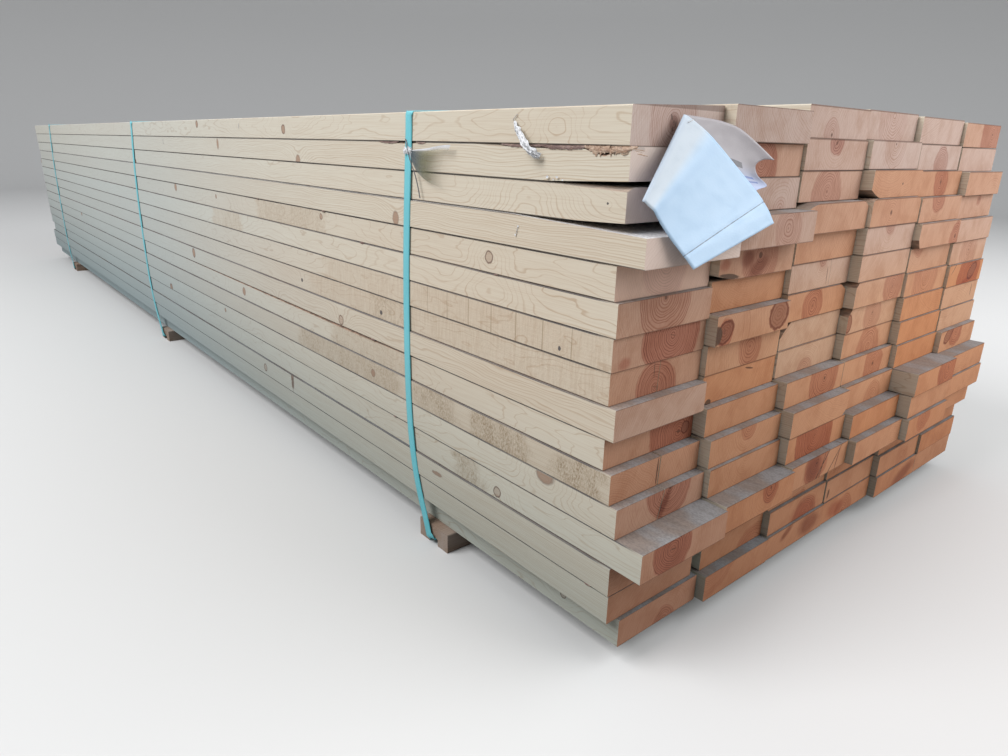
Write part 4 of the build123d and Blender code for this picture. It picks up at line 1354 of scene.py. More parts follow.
@dataclass(frozen=True)
class TornWood:
    """Bark and torn fibres where the saw met the outside of the log."""

    bark: Colour = (0.13, 0.08, 0.075)
    bark_light: Colour = (0.29, 0.20, 0.18)
    fibre: Colour = (0.40, 0.25, 0.17)
    fibre_light: Colour = (0.66, 0.51, 0.385)

    def material(self) -> bpy.types.Material:
        """Build it. U, the first coordinate, goes from bark to bare fibre."""
        material, graph, shader = new_material("Torn wood")
        here = graph.add("ShaderNodeTexCoord")
        bare, _, _ = graph.split(here.outputs["UV"])
        point = here.outputs["Object"]
        flake = graph.noise(graph.stretched(point, (120.0, 300.0, 420.0)), 1.0, 4.0, 0.65)
        light = graph.step(flake, 0.35, 0.7)
        colour = graph.mix(bare, graph.mix(light, self.bark, self.bark_light),
                           graph.mix(light, self.fibre, self.fibre_light))
        graph.feed(shader.inputs["Base Color"], colour)
        graph.feed(shader.inputs["Roughness"], graph.step(flake, 0.0, 1.0, 0.95, 0.75))
        bump(graph, shader, flake, 0.0015, 0.7)
        return material


@dataclass(frozen=True)
class StapleSteel:
    """Dull zinc of the staples."""

    bright: Colour = (0.62, 0.62, 0.64)
    dull: Colour = (0.38, 0.37, 0.36)

    def material(self) -> bpy.types.Material:
        """Build it."""
        material, graph, shader = new_material("Staple steel")
        here = graph.add("ShaderNodeTexCoord")
        spots = graph.noise(here.outputs["Object"], 900.0, 2.0)
        colour = graph.mix(graph.step(spots, 0.4, 0.7), self.bright, self.dull)
        graph.feed(shader.inputs["Base Color"], colour)
        graph.feed(shader.inputs["Roughness"], graph.step(spots, 0.3, 0.7, 0.3, 0.5))
        shader.inputs["Metallic"].default_value = 1.0
        return material


Point = tuple[float, float, float]
Mapping = tuple[float, float]


@dataclass
class MeshParts:
    """Points, faces and surface coordinates that grow into one mesh."""

    points: list[Vector] = field(default_factory=list)
    faces: list[tuple[int, ...]] = field(default_factory=list)
    places: list[Mapping] = field(default_factory=list)

    def add_grid(self, rows: Sequence[Sequence[Vector]], places: Sequence[Sequence[Mapping]],
                 ring: bool = False, loop: bool = False) -> None:
        """Add a grid of points and its faces.

        Args:
            rows: the points, row by row.
            places: the surface coordinates of each point.
            ring: whether each row closes on itself.
            loop: whether the last row joins the first.
        """
        start, wide, high = len(self.points), len(rows[0]), len(rows)
        for row, place in zip(rows, places):
            self.points += list(row)
            self.places += list(place)
        for i in range(high if loop else high - 1):
            for j in range(wide if ring else wide - 1):
                a, b = start + i * wide + j, start + i * wide + (j + 1) % wide
                c, d = start + (i + 1) % high * wide + (j + 1) % wide, start + (i + 1) % high * wide + j
                self.faces.append((a, b, c, d))

    def add_tube(self, line: Sequence[Vector], radius: float, place: Mapping = (0.0, 0.0), sides: int = 6
                 ) -> None:
        """Add a round wire along a line, with closed ends.

        Args:
            line: the points that it follows.
            radius: its radius.
            place: the surface coordinates of all of it.
            sides: how many sides it has.
        """
        start = len(self.points)
        rows = []
        for index, point in enumerate(line):
            way = (line[min(index + 1, len(line) - 1)] - line[max(index - 1, 0)]).normalized()
            side = way.orthogonal().normalized()
            other = way.cross(side)
            rows.append([point + radius * (math.cos(turn) * side + math.sin(turn) * other)
                         for turn in (math.tau * step / sides for step in range(sides))])
        self.add_grid(rows, [[place] * sides] * len(rows), ring=True)
        last = start + (len(rows) - 1) * sides
        self.faces.append(tuple(range(start + sides - 1, start - 1, -1)))
        self.faces.append(tuple(range(last, last + sides)))

    def build(self, name: str, material: bpy.types.Material, slot: str) -> bpy.types.Object:
        """Make the object and ride it on the body.

        Args:
            name: the piece's name.
            material: its finish.
            slot: the record's material slot; not used.

        Returns:
            The new piece.
        """
        mesh = bpy.data.meshes.new(name)
        mesh.from_pydata(self.points, [], self.faces)
        layer = mesh.uv_layers.new(name="places")
        for loop in mesh.loops:
            layer.data[loop.index].uv = self.places[loop.vertex_index]
        for polygon in mesh.polygons:
            polygon.use_smooth = True
        mesh.materials.append(material)
        piece = bpy.data.objects.new(name, mesh)
        bpy.context.scene.collection.objects.link(piece)
        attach(piece, BODY)
        return piece


def smooth_line(points: Sequence[Vector], steps: int) -> list[Vector]:
    """Draw a smooth line through points.

    Args:
        points: the points.
        steps: how many steps there are to each span.

    Returns:
        The points of the line.
    """
    held = [points[0] * 2 - points[1], *points, points[-1] * 2 - points[-2]]
    line = []
    for before, start, end, after in zip(held, held[1:], held[2:], held[3:]):
        for step in range(steps):
            t = step / steps
            line.append(0.5 * (2 * start + (end - before) * t
                               + (2 * before - 5 * start + 4 * end - after) * t ** 2
                               + (3 * start - before - 3 * end + after) * t ** 3))
    return line + [points[-1].copy()]


def along_line(line: Sequence[Vector], share: float) -> Vector:
    """Find the point at a share of a line's points."""
    place = min(max(share, 0.0), 1.0) * (len(line) - 1)
    index = min(int(place), len(line) - 2)
    return line[index].lerp(line[index + 1], place - index)


@dataclass
class Straps:
    """The three straps, each a closed band with its welded lap.

    Across is where the points of its width lie, from edge to edge, and thin_edge is the share of its thickness
    that is left at the edges.
    """

    width: float = 0.019
    thickness: float = 0.0009
    thin_edge: float = 0.3
    across: tuple[float, ...] = (-1.0, -0.94, -0.6, -0.2, 0.2, 0.6, 0.94, 1.0)
    crown: float = 0.0005
    corner: float = 0.0022
    shoulder: float = 0.06
    levels: int = 36
    scan: float = 0.0005
    lap: float = 0.06
    lap_steps: int = 20
    tail: float = 0.022
    tail_lift: float = 0.0005
    tail_drift: float = 0.0012

    def build(self, finish: bpy.types.Material) -> None:
        """Build each strap in place of its solid.

        Args:
            finish: the strap's material.
        """
        for place in PLACES:
            node = f"strap_{place}"
            parts = MeshParts()
            line, outwards = self.route(node)
            self.add_band(parts, line, outwards, 0.0, closed=True)
            self.add_lap(parts, line, outwards)
            piece = parts.build(f"{node}_band", finish, "strap_plastic")
            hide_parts(node)
            LOG.info("%s follows %d points", piece.name, len(line))

    def route(self, node: str) -> tuple[list[Vector], list[Vector]]:
        """Follow the inside of the solid strap all the way round.

        Args:
            node: the solid's name.

        Returns:
            The points, and the way that is outwards at each.
        """
        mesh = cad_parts[node].data
        tree = BVHTree.FromPolygons([vertex.co for vertex in mesh.vertices],
                                    [tuple(polygon.vertices) for polygon in mesh.polygons])
        low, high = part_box(node)
        inside = Vector((0.0, (low[1] + high[1]) / 2, (low[2] + high[2]) / 2))

        def hit(start: Vector, way: Vector) -> Vector | None:
            """Find where a ray meets the strap."""
            return tree.ray_cast(start, way)[0]

        def middle(y: float, z: float, way: Vector) -> Vector:
            """Find the middle of the strap's width."""
            scan = np.arange(low[0] - self.scan, high[0] + self.scan, self.scan)
            hits = [point for point in (hit(Vector((x, y, z)), way) for x in scan) if point]
            return (hits[0] + hits[-1]) / 2

        up, right = Vector((0, 0, 1)), Vector((0, 1, 0))
        roof = middle(inside.y, inside.z, up)
        floor = middle(inside.y, inside.z, -up)
        reach = self.thickness + self.corner
        top_left, top_far = (middle(inside.y, high[2] - self.shoulder, right * sign).y for sign in (-1, 1))
        crown = [hit(Vector((roof.x, float(y), inside.z)), up)
                 for y in np.linspace(top_left + reach, top_far - reach, self.levels)]
        sides = {}
        for sign, corner in ((-1, crown[0]), (1, crown[-1])):
            heights = np.linspace(floor.z + self.corner, corner.z - 2 * self.corner, self.levels)
            run = [middle(inside.y, float(z), right * sign) for z in heights]
            xs = np.convolve(np.pad([point.x for point in run], 2, mode="edge"), np.ones(5) / 5, mode="valid")
            sides[sign] = [Vector((float(x), point.y, point.z)) for x, point in zip(xs, run)]
        left, far = sides[-1][0].y, sides[1][0].y
        line, outwards = [], []

        def turn(corner_y: float, corner_z: float, x: float, start: float) -> None:
            """Take the line round a corner."""
            for share in (0.1, 0.5, 0.9):
                angle = math.radians(start - 90 * share)
                way = Vector((0.0, math.cos(angle), math.sin(angle)))
                line.append(Vector((x, corner_y, corner_z)) + way * self.corner)
                outwards.append(way)

        for point in sides[-1]:
            line.append(point)
            outwards.append(-right)
        turn(top_left + self.corner, crown[0].z - self.corner, roof.x, 180)
        for point in crown:
            line.append(point)
            outwards.append(up)
        turn(top_far - self.corner, crown[-1].z - self.corner, roof.x, 90)
        for point in reversed(sides[1]):
            line.append(point)
            outwards.append(right)
        turn(far - self.corner, floor.z + self.corner, floor.x, 0)
        for y in np.linspace(far - reach, left + reach, 6):
            line.append(Vector((floor.x, float(y), floor.z)))
            outwards.append(-up)
        turn(left + self.corner, floor.z + self.corner, floor.x, 270)
        return line, outwards

    def add_band(self, parts: MeshParts, line: Sequence[Vector], outwards: Sequence[Vector], lift: float,
                 closed: bool) -> None:
        """Add a length of strap along a line.

        Args:
            parts: what it is added to.
            line: the points on its inside.
            outwards: the way outwards at each.
            lift: how far it lies off the line.
            closed: whether it joins on itself.
        """
        rows, places, run = [], [], 0.0
        count, half = len(line), self.width / 2
        for index, (point, way) in enumerate(zip(line, outwards)):
            ahead = line[(index + 1) % count] if closed or index + 1 < count else point
            behind = line[index - 1] if closed or index else point
            course = (ahead - behind).normalized()
            side = course.cross(way).normalized()
            run += (point - line[index - 1]).length if index else 0.0
            outer, inner, places_out = [], [], []
            for share in self.across:
                rise = lift + self.crown * (1 - share ** 2)
                thin = self.thickness * (self.thin_edge if abs(share) == 1.0 else 1.0)
                base = point + side * (share * half)
                outer.append(base + way * (rise + thin))
                inner.append(base + way * rise)
                places_out.append(((share + 1) / 2 * self.width, run))
            rows.append(outer + inner[::-1])
            places.append(places_out + places_out[::-1])
        start = len(parts.points)
        parts.add_grid(rows, places, ring=True, loop=closed)
        if not closed:
            wide = len(rows[0])
            last = start + (count - 1) * wide
            parts.faces.append(tuple(range(start, start + wide)))
            parts.faces.append(tuple(range(last + wide - 1, last - 1, -1)))

    def add_lap(self, parts: MeshParts, line: Sequence[Vector], outwards: Sequence[Vector]) -> None:
        """Add the second layer where the ends are welded, with a short loose tail.

        Args:
            parts: what it is added to.
            line: the strap's line.
            outwards: the way outwards at each point.
        """
        top = [point for point, way in zip(line, outwards) if way.z > 0.9]
        middle = top[len(top) // 2]
        lap_line, ways = [], []
        for index in range(self.lap_steps + 1):
            share = index / self.lap_steps
            y = middle.y - self.lap / 2 + share * (self.lap + self.tail)
            z = float(np.interp(y, [point.y for point in top], [point.z for point in top]))
            past = max(0.0, (share * (self.lap + self.tail) - self.lap) / self.tail)
            lap_line.append(Vector((middle.x + self.tail_drift * past, y, z + self.tail_lift * past ** 2)))
            ways.append(Vector((0, 0, 1)))
        self.add_band(parts, lap_line, ways, self.thickness + 0.0001, closed=False)


@dataclass
class Tag:
    """The tag: a sheet folded on itself askew, its plain back outwards and its printed side peeping out.

    Points are distance from the long side, drop from the top of the bundle and how far the sheet lies off the
    leaning plane that the ends of the boards give it, all in mm.
    """

    lean: float = 0.27
    staple_drop: float = 13.0
    staple_x: float = -21.7
    crease_at: ClassVar[float] = 0.72
    crease_turn: ClassVar[float] = 0.103
    ridge_at: ClassVar[float] = 0.26
    thickness: float = 0.0004
    across: int = 50
    down: int = 30
    front_top: tuple[Point, ...] = (
        (87, 8, 1), (113, 22, 2), (163, 56, 4), (220, 98, 5), (237, 118, 6), (249, 139, 6))
    front_bottom: tuple[Point, ...] = ((-8, 103, 1), (7, 119, 2), (38, 152, 3), (67, 183, 4))
    back_top: tuple[Point, ...] = (
        (87, 8, 0.8), (125, 10, 1), (164, 13, 1.5), (201, 21, 3), (231, 39, 8), (249, 58, 18))
    back_bottom: tuple[Point, ...] = (
        (-8, 103, 0.8), (40, 118, 1), (110, 124, 1), (170, 122, 1), (205, 116, 2))
    back_edge: tuple[Point, ...] = (
        (249, 58, 18), (236, 58, 10), (224, 65, 5), (228, 78, 4), (248, 91, 4), (222, 97, 3), (205, 116, 2))

    def place(self, stack: Stack, point: Point) -> Vector:
        """Set a point of the tag in the frame."""
        inwards, drop, off = point
        return stack.at(self.staple_x + self.lean * (drop - self.staple_drop) + off, inwards, drop)

    def patch(self, top: Sequence[Vector], bottom: Sequence[Vector], fold: Sequence[Vector],
              free: Sequence[Vector], u: float, v: float) -> Vector:
        """Find a point on a sheet that hangs between four lines.

        Args:
            top: from the fold to the free edge, along the top.
            bottom: the same along the bottom.
            fold: down the fold.
            free: down the free edge.
            u: from the fold to the free edge.
            v: from the top down.

        Returns:
            The point.
        """
        between = along_line(top, u) * (1 - v) + along_line(bottom, u) * v
        beside = along_line(fold, v) * (1 - u) + along_line(free, v) * u
        corners = (top[0] * (1 - u) + top[-1] * u) * (1 - v) + (bottom[0] * (1 - u) + bottom[-1] * u) * v
        return between + beside - corners

    def build(self, stack: Stack, finish: bpy.types.Material) -> None:
        """Build the tag in place of its solid.

        Args:
            stack: where the bundle lies.
            finish: the sheet's material.
        """
        lines = {name: smooth_line([self.place(stack, point) for point in getattr(self, name)], 8)
                 for name in ("front_top", "front_bottom", "back_top", "back_bottom", "back_edge")}
        fold = [lines["front_top"][0], lines["front_bottom"][0]]
        free = [lines["front_top"][-1], lines["front_bottom"][-1]]
        outwards = Vector((1.0, 0.0, self.lean)).normalized()
        rows, places = [], []
        for step in range(self.down + 1):
            v = step / self.down
            row, place = [], []
            for index in range(-self.across, self.across + 1):
                u = abs(index) / self.across
                if index < 0:
                    point = self.patch(lines["back_top"], lines["back_bottom"], fold, lines["back_edge"], u, v)
                else:
                    point = self.patch(lines["front_top"], lines["front_bottom"], fold, free, u, v)
                    point += outwards * self.relief(u, v)
                row.append(point)
                place.append((index / self.across if index else 0.0001, v))
            rows.append(row)
            places.append(place)
        parts = MeshParts()
        parts.add_grid(rows, places)
        piece = parts.build("tag_sheet_folded", finish, "tag_sheet")
        solid = piece.modifiers.new("thickness", "SOLIDIFY")
        solid.thickness = self.thickness
        solid.offset = 0.0
        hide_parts("tag")

    def relief(self, u: float, v: float) -> float:
        """How far the front layer stands out: its fold, its soft ridge, a hollow and the crease.

        Args:
            u: from the fold to the free edge.
            v: from the top down.

        Returns:
            The distance, in metres.
        """
        fold = 0.002 * math.sqrt(min(u / 0.05, 1.0)) * (1 - 0.4 * u)
        beside = (u - self.ridge_at) / (0.16 if u < self.ridge_at else 0.22)
        ridge = 0.0042 * math.exp(-1.6 * math.sqrt(beside ** 2 + 0.02))
        hollow = -0.0015 * math.sin(math.pi * min(max((u - 0.35) / 0.5, 0.0), 1.0))
        crease = -0.0006 * math.exp(-((u - self.crease_at - self.crease_turn * v) / 0.012) ** 2)
        lift = 0.001 * u ** 3 * math.cos(math.pi * v)
        return fold + ridge * (0.8 + 0.2 * v) + hollow + crease + lift


@dataclass
class WrapScraps:
    """The two scraps that are left of the wrap, and crumbs of it along a joint.

    Points are distance from the near end plane, from the long side and down from the top, in mm.
    """

    staple_line: tuple[Point, ...] = (
        (-226, -1, 17), (-216, -4, 26), (-206, -6, 34), (-192, -8, 47), (-178, -7, 56), (-170, -3, 60))
    staple_widths: tuple[float, ...] = (3.0, 7.0, 9.0, 9.5, 9.0, 6.0)
    pinch: Point = (-483, -2.6, 59)
    ribbon_end: Point = (-360, -7, 48)
    fan_end: Point = (-388, -4, 114)
    tail_line: tuple[Point, ...] = (
        (-494, -3, 41), (-486, -5, 56), (-478, -5.5, 73), (-466, -5, 93), (-459, -4, 112), (-453, -4, 131))
    crumbs: tuple[Point, ...] = (
        (-159, 84.5, 3.2), (-148, 87, 1.5), (-141, 84, 2.4), (-131, 87, 1.4), (-214, 152, 1.8),
        (-219, 164, 2.0))

    def build(self, stack: Stack, finish: bpy.types.Material) -> None:
        """Build them.

        Args:
            stack: where the bundle lies.
            finish: the film's material.
        """
        self.build_staple_scrap(stack, finish)
        self.build_strap_scrap(stack, finish)

    def build_staple_scrap(self, stack: Stack, finish: bpy.types.Material) -> None:
        """Build the crumpled strip that still hangs from its staple."""
        dice = np.random.default_rng(11)
        line = smooth_line([stack.at(*point) for point in self.staple_line], 9)
        given = np.linspace(0, 1, len(self.staple_widths))
        widths = np.interp(np.linspace(0, 1, len(line)), given, self.staple_widths)
        pleats = 13
        rows, places = [], []
        waves = dice.uniform(0, math.tau, pleats)
        for index, (point, width) in enumerate(zip(line, widths)):
            way = (line[min(index + 1, len(line) - 1)] - line[max(index - 1, 0)]).normalized()
            out = Vector((0, -1, 0))
            side = way.cross(out).normalized()
            row = []
            for pleat in range(pleats):
                share = pleat / (pleats - 1) * 2 - 1
                fold = (1 if pleat % 2 else -1) * 0.20 * width
                fold += 0.18 * width * math.sin(index * 0.55 + waves[pleat])
                slide = 0.10 * width * math.sin(index * 0.8 + waves[pleat] * 2)
                row.append(point + side * ((share * width / 2 * 1.15 + slide) * MM)
                           + out * ((abs(fold) + 0.25 * width * (1 - share ** 2)) * MM))
            rows.append(row)
            places.append([(0.0, 0.0)] * pleats)
        parts = MeshParts()
        parts.add_grid(rows, places)
        self.add_crumbs(parts, stack, dice)
        piece = parts.build("wrap_scrap_staple_film", finish, "wrap_film")
        self.declare(piece, "wrap_scrap_staple", (0.030, 0.085), ["course_16", "course_15"])

    def add_crumbs(self, parts: MeshParts, stack: Stack, dice: np.random.Generator) -> None:
        """Add the small bits of film that stick in the joints and at the staples."""
        for along, drop, size in self.crumbs:
            centre = stack.at(along, -0.8, drop)
            rows = []
            for i in range(4):
                rows.append([centre + Vector(((i - 1.5) * size * 0.5, -abs(dice.normal(0, 0.35)) * size,
                                              (j - 1.5) * size * 0.4 + dice.normal(0, 0.15) * size)) * MM
                             for j in range(4)])
            parts.add_grid(rows, [[(0.0, 0.0)] * 4] * 4)

    def build_strap_scrap(self, stack: Stack, finish: bpy.types.Material) -> None:
        """Build the clear fan of film that the near strap pinches, with its ribbon and its rolled tail."""
        dice = np.random.default_rng(5)
        pinch, ribbon, low = (stack.at(*point) for point in (self.pinch, self.ribbon_end, self.fan_end))
        fan, spokes = 30, 24
        rows, places = [], []
        for i in range(spokes):
            out = i / (spokes - 1)
            row, place = [], []
            for j in range(fan):
                turn = j / (fan - 1)
                bow = math.sin(math.pi * turn)
                point = pinch.lerp(ribbon.lerp(low, turn), out * (1 - 0.10 * bow))
                sag = 18.0 * math.sin(math.pi * out ** 0.6) * turn ** 1.5
                pleat = math.sin(turn * 22 + out * 2.5) * 1.1 * out + math.sin(out * 14 + turn * 5) * 0.7 * out
                proud = 1.2 + pleat + 3.5 * out * bow
                point += Vector((0, -proud, math.sin(out * 9 + 1) * 0.9 * out - sag)) * MM
                row.append(point)
                at_ribbon = max(0.0, 1 - turn / 0.16)
                at_pinch = max(0.0, 1 - out / 0.08)
                place.append((1.0 - max(at_ribbon, at_pinch), out))
            rows.append(row)
            places.append(place)
        parts = MeshParts()
        parts.add_grid(rows, places)
        tail = smooth_line([stack.at(*point) for point in self.tail_line], 5)
        edges = [Vector(edge) * MM for edge in ((-1.3, 0.4, 0.3), (0.0, -0.9, 0.0), (1.3, 0.4, -0.3))]
        parts.add_grid([[point + edge for edge in edges] for point in tail], [[(-1.0, 0.0)] * 3] * len(tail))
        self.add_knot(parts, pinch, dice)
        piece = parts.build("wrap_scrap_strap_film", finish, "wrap_film")
        self.declare(piece, "wrap_scrap_strap", (0.090, 0.100), ["strap_near", "course_15", "course_16"])

    def add_knot(self, parts: MeshParts, pinch: Vector, dice: np.random.Generator) -> None:
        """Add the crumple of film round the strap."""
        rows, places = [], []
        for i in range(16):
            row = []
            for j in range(9):
                swell = math.sin(math.pi * (j + 0.5) / 9)
                height = 9 + 4 * math.sin(i * 0.9)
                row.append(pinch + Vector(((i / 15 - 0.62) * 24 + dice.normal(0, 0.5),
                                           -(0.6 + abs(dice.normal(0, 1.0)) + 1.2 * swell),
                                           (j / 8 - 0.5) * height + dice.normal(0, 0.5))) * MM)
            rows.append(row)
            places.append([(0.15 + 0.3 * (j % 3 == 0), 0.0) for j in range(9)])
        parts.add_grid(rows, places)

    @staticmethod
    def declare(piece: bpy.types.Object, node: str, flat: tuple[float, float], rests_on: list[str]) -> None:
        """Let a scrap stand for its solid, which is hidden.

        Args:
            piece: the scrap; not used.
            node: the solid that it replaces.
            flat: the size that it was torn to; not used.
            rests_on: what holds it; not used.
        """
        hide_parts(node)


@dataclass
class TornEdges:
    """Bark and torn fibres in the wane of the second board down, and bits of bark in the joints.

    Lengths are in mm. Each strip is where it starts, where it ends, how far down the arris it reaches, how
    thick it lies and how far it is bare of bark. Each lump is how many courses down its joint lies, its place
    along and its size.
    """

    joint_drop: float = 45.3
    strips: tuple[tuple[float, float, float, float, float], ...] = (
        (-256, -165, 4.2, 2.4, 0.0), (-176, -90, 6.0, 3.0, 0.0), (-98, -14, 8.0, 3.4, 0.9),
        (-94, -56, 9.5, 3.0, 1.0), (-585, -520, 3.4, 2.2, 0.0), (-468, -440, 3.2, 2.0, 0.0))
    lumps: tuple[tuple[int, float, float], ...] = (
        (4, -815, 5.0), (4, -1165, 3.5), (5, -660, 4.5), (9, -632, 5.0), (5, -262, 3.4), (14, -44, 3.5),
        (12, -560, 3.0))
    splinters: int = 26

    def build(self, stack: Stack, finish: bpy.types.Material) -> None:
        """Build them as one piece.

        Args:
            stack: where the bundle lies.
            finish: the torn wood's material.
        """
        dice = np.random.default_rng(21)
        parts = MeshParts()
        for strip in self.strips:
            self.add_strip(parts, stack, dice, *strip)
        for joint, along, size in self.lumps:
            self.add_lump(parts, stack, dice, along, joint * self.joint_drop, size)
        for _ in range(self.splinters):
            self.add_splinter(parts, stack, dice)
        piece = parts.build("torn_edge_bits", finish, "board_wood")
        LOG.info("%s has %d faces", piece.name, len(piece.data.polygons))

    def add_strip(self, parts: MeshParts, stack: Stack, dice: np.random.Generator, start: float, end: float,
                  reach: float, thick: float, bare: float) -> None:
        """Add a ragged strip along the joint under the top course."""
        count, wide = max(8, int((end - start) / 1.6)), 7
        rows, places = [], []
        for i in range(count + 1):
            share = i / count
            swell = math.sin(math.pi * share) ** 0.45
            ragged = 1 + 0.15 * dice.normal() * bare + 0.10 * dice.normal()
            row = []
            for j in range(wide):
                down = j / (wide - 1)
                depth = reach * swell * ragged * down
                inwards = 2.6 * (1 - down) * swell + 0.2 - thick * swell * math.sin(math.pi * down) * 0.5
                jitter = dice.normal(0, 0.32, 3) * (0.4 + 0.8 * bare)
                row.append(stack.at(start + (end - start) * share + jitter[0], inwards + jitter[1] * 0.6,
                                    self.joint_drop - 0.2 + depth + jitter[2] * 0.4))
            rows.append(row)
            places.append([(min(1.0, max(0.0, bare + dice.normal(0, 0.24))), down / wide)
                           for down in range(wide)])
        parts.add_grid(rows, places)

    @staticmethod
    def add_lump(parts: MeshParts, stack: Stack, dice: np.random.Generator, along: float, drop: float,
                 size: float) -> None:
        """Add a bit of bark that is caught in a joint."""
        turns, rows, places = 9, [], []
        for i in range(7):
            lift = math.pi * i / 6
            row = []
            for j in range(turns):
                turn = math.tau * j / turns
                swell = size * (1 + 0.22 * dice.normal())
                belly = swell * math.sin(lift)
                row.append(stack.at(along + 1.5 * swell * math.cos(lift), 0.5 + 0.22 * belly * math.cos(turn),
                                    drop + 0.42 * belly * math.sin(turn)))
            rows.append(row)
            places.append([(0.15, 0.0)] * turns)
        parts.add_grid(rows, places, ring=True)

    def add_splinter(self, parts: MeshParts, stack: Stack, dice: np.random.Generator) -> None:
        """Add one thin splinter in the torn stretch."""
        along = dice.uniform(-98, -8)
        drop = self.joint_drop + dice.uniform(1.5, 10)
        length = dice.uniform(5, 16)
        start = stack.at(along, 1.4, drop)
        middle = stack.at(along + length * 0.5, -0.2, drop + dice.normal(0, 0.8))
        end = stack.at(along + length, 0.9, drop + dice.normal(0, 1.4))
        parts.add_tube(smooth_line([start, middle, end], 3), dice.uniform(0.2, 0.5) * MM, (1.0, 0.0), 5)


@dataclass
class Staples:
    """Wire staples that held the wrap and that hold the tag.

    Each on the side is its place along and down and its turn in degrees, and each on the tag its place
    inwards and down and its turn. Lengths are in mm.
    """

    wire: float = 0.45
    crown: float = 11.0
    proud: float = 1.1
    leg: float = 6.0
    on_side: tuple[Point, ...] = ((-216, 158, 75), (-226, 12, 40), (-1240, 18, 70), (-1900, 60, 85))
    on_tag: tuple[Point, ...] = ((94, 15, 20),)

    def build(self, stack: Stack, finish: bpy.types.Material, tag: Tag) -> None:
        """Build all of them as one piece.

        Args:
            stack: where the bundle lies.
            finish: the wire's material.
            tag: the tag that one of them holds.
        """
        parts = MeshParts()
        for along, drop, turn in self.on_side:
            way = Vector((math.cos(math.radians(turn)), 0, math.sin(math.radians(turn))))
            self.add(parts, stack.at(along, 0, drop), way, Vector((0, -1, 0)))
        for inwards, drop, turn in self.on_tag:
            way = Vector((0, math.cos(math.radians(turn)), math.sin(math.radians(turn))))
            self.add(parts, tag.place(stack, (inwards, drop, 5)), way, Vector((1, 0, 0)))
        piece = parts.build("staples", finish, "strap_plastic")
        LOG.info("%s has %d faces", piece.name, len(piece.data.polygons))

    def add(self, parts: MeshParts, middle: Vector, way: Vector, out: Vector) -> None:
        """Add one staple, its legs driven in and its crown a little proud."""
        half, legs = way * (self.crown / 2 * MM), out * (self.leg * MM)
        lift = out * (self.proud * MM)
        bend = way * (0.8 * MM)
        start, end = middle - half, middle + half
        line = [start - legs, start + lift * 0.6, start + bend + lift, end - bend + lift, end + lift * 0.6,
                end - legs]
        parts.add_tube(line, self.wire * MM)


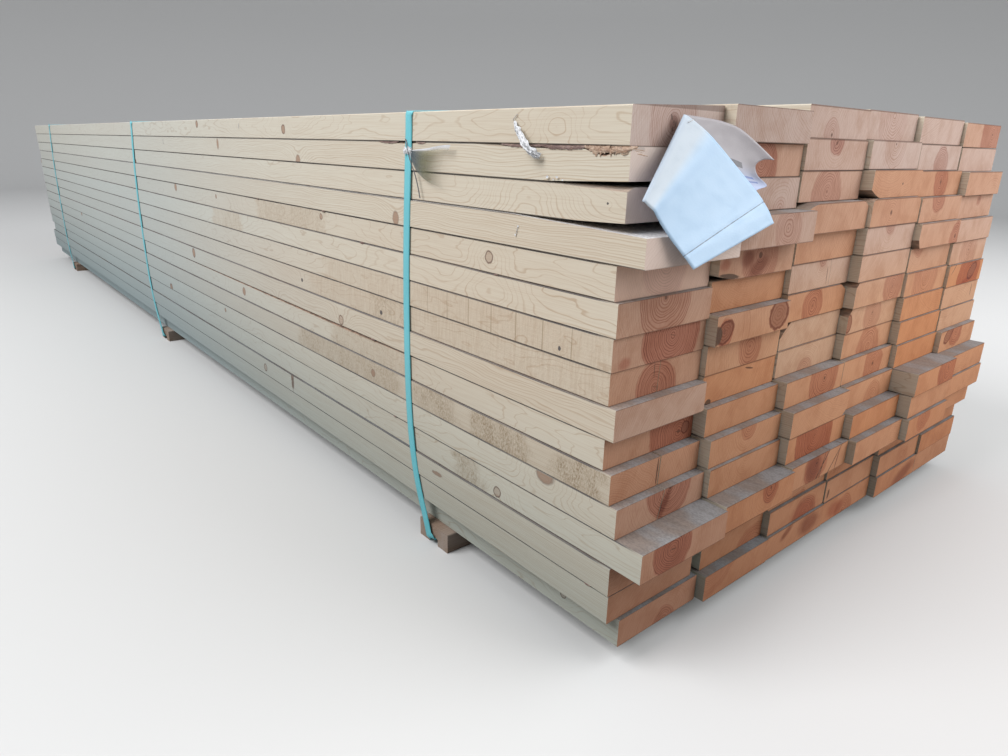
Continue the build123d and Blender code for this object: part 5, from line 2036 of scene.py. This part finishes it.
@dataclass(frozen=True)
class Studio:
    """Floor, backdrop, lights and the camera at the photograph's angle.

    A lamp is its name, its place, the length of its side and its power in watts. All look at the lit spot.
    """

    floor_radius: float = 9.0
    sweep_radius: float = 3.0
    wall_height: float = 6.0
    sweep_steps: int = 12
    around: int = 96
    floor_tone: Colour = (0.62, 0.62, 0.62)
    floor_bounce: Colour = (0.24, 0.24, 0.24)
    camera_place: Point = (2.7538, -1.22373, 0.71611)
    heading: float = 139.935
    dip: float = 18.58
    roll: float = 1.309
    lens: float = 24.776
    world_tone: Colour = (0.96, 0.98, 1.0)
    world_strength: float = 0.68
    lit_spot: Point = (0.9, 0.0, 0.3)
    lamps: tuple[tuple[str, Point, float, float], ...] = (
        ("front", (0.2, -5.0, 5.2), 4.0, 400.0), ("end", (5.2, 3.0, 3.4), 5.5, 290.0))

    def build(self) -> None:
        """Build all of it."""
        self.build_floor()
        self.build_lights()
        self.build_camera()

    def build_floor(self) -> None:
        """Build a round floor that sweeps up into a wall."""
        outline = [(self.floor_radius, 0.0)]
        for index in range(1, self.sweep_steps + 1):
            turn = index / self.sweep_steps * math.pi / 2
            outline.append((self.floor_radius + self.sweep_radius * math.sin(turn),
                            self.sweep_radius * (1 - math.cos(turn))))
        outline.append((self.floor_radius + self.sweep_radius, self.wall_height))
        verts, faces = [(0.0, 0.0, 0.0)], []
        for radius, height in outline:
            for index in range(self.around):
                turn = index / self.around * math.tau
                verts.append((radius * math.cos(turn), radius * math.sin(turn), height))
        for index in range(self.around):
            faces.append((0, 1 + index, 1 + (index + 1) % self.around))
        for row in range(len(outline) - 1):
            for index in range(self.around):
                a = 1 + row * self.around + index
                b = 1 + row * self.around + (index + 1) % self.around
                faces.append((a, a + self.around, b + self.around, b))
        mesh = bpy.data.meshes.new("studio_floor")
        mesh.from_pydata(verts, [], faces)
        floor = bpy.data.objects.new("studio_floor", mesh)
        bpy.context.scene.collection.objects.link(floor)
        for polygon in mesh.polygons:
            polygon.use_smooth = True
        material, graph, shader = new_material("Studio floor")
        rays = graph.add("ShaderNodeLightPath")
        seen = graph.largest(rays.outputs["Is Camera Ray"], rays.outputs["Is Glossy Ray"])
        seen = graph.largest(seen, rays.outputs["Is Transmission Ray"])
        graph.feed(shader.inputs["Base Color"], graph.mix(seen, self.floor_bounce, self.floor_tone))
        graph.feed(shader.inputs["Roughness"], 0.9)
        mesh.materials.append(material)

    def build_lights(self) -> None:
        """Light the bundle softly from the front, from its end and from all round."""
        world = bpy.data.worlds.new("Studio")
        world.use_nodes = True
        bpy.context.scene.world = world
        back = world.node_tree.nodes["Background"]
        back.inputs["Color"].default_value = (*self.world_tone, 1.0)
        back.inputs["Strength"].default_value = self.world_strength
        for lamp in self.lamps:
            self.build_lamp(*lamp)

    def build_lamp(self, name: str, place: Point, size: float, power: float) -> None:
        """Add a square soft lamp that looks at the lit spot.

        Args:
            name: its name.
            place: where it hangs.
            size: length of its side.
            power: its power in watts.
        """
        data = bpy.data.lights.new(name, "AREA")
        data.size = size
        data.energy = power
        lamp = bpy.data.objects.new(name, data)
        lamp.location = place
        lamp.rotation_euler = (Vector(self.lit_spot) - Vector(place)).to_track_quat("-Z", "Y").to_euler()
        bpy.context.scene.collection.objects.link(lamp)

    def build_camera(self) -> None:
        """Set up the camera at the photograph's place and angle."""
        heading, dip, roll = math.radians(self.heading), math.radians(self.dip), math.radians(self.roll)
        ahead = math.cos(dip)
        forward = Vector((ahead * math.cos(heading), ahead * math.sin(heading), -math.sin(dip)))
        level = Vector((forward.y, -forward.x, 0.0)).normalized()
        upright = level.cross(forward)
        right = level * math.cos(roll) + upright * math.sin(roll)
        up = right.cross(forward)
        data = bpy.data.cameras.new("camera")
        data.lens = self.lens
        data.sensor_width = 36.0
        data.clip_start = 0.05
        data.clip_end = 100.0
        camera = bpy.data.objects.new("camera", data)
        turn = Matrix((right, up, -forward)).transposed()
        camera.matrix_world = Matrix.Translation(self.camera_place) @ turn.to_4x4()
        bpy.context.scene.collection.objects.link(camera)
        bpy.context.scene.camera = camera
        bpy.context.scene.view_settings.view_transform = "Standard"


def dress(node: str, material: bpy.types.Material) -> None:
    """Give a solid of the frame its finish."""
    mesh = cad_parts[node].data
    mesh.materials.clear()
    mesh.materials.append(material)
    LOG.info("%s dressed", node)


def main() -> None:
    """Dress the bundle, build what the frame leaves plain and set up the studio."""
    groups = Groups.build()
    stack = Stack()
    wood = BoardWood()
    for course in range(COURSES):
        dress(stack.node_name(course), wood.material(groups, stack, course))
    bolster = BolsterWood().material(groups)
    for place in PLACES:
        dress(f"bolster_{place}", bolster)
    Straps().build(StrapPlastic().material(groups))
    tag = Tag()
    tag.build(stack, TagSheet().material())
    WrapScraps().build(stack, WrapFilm().material(groups))
    TornEdges().build(stack, TornWood().material())
    Staples().build(stack, StapleSteel().material(), tag)
    Studio().build()


if __name__ == "__main__":
    logging.basicConfig(level=logging.INFO, format="%(name)s: %(message)s")
    main()
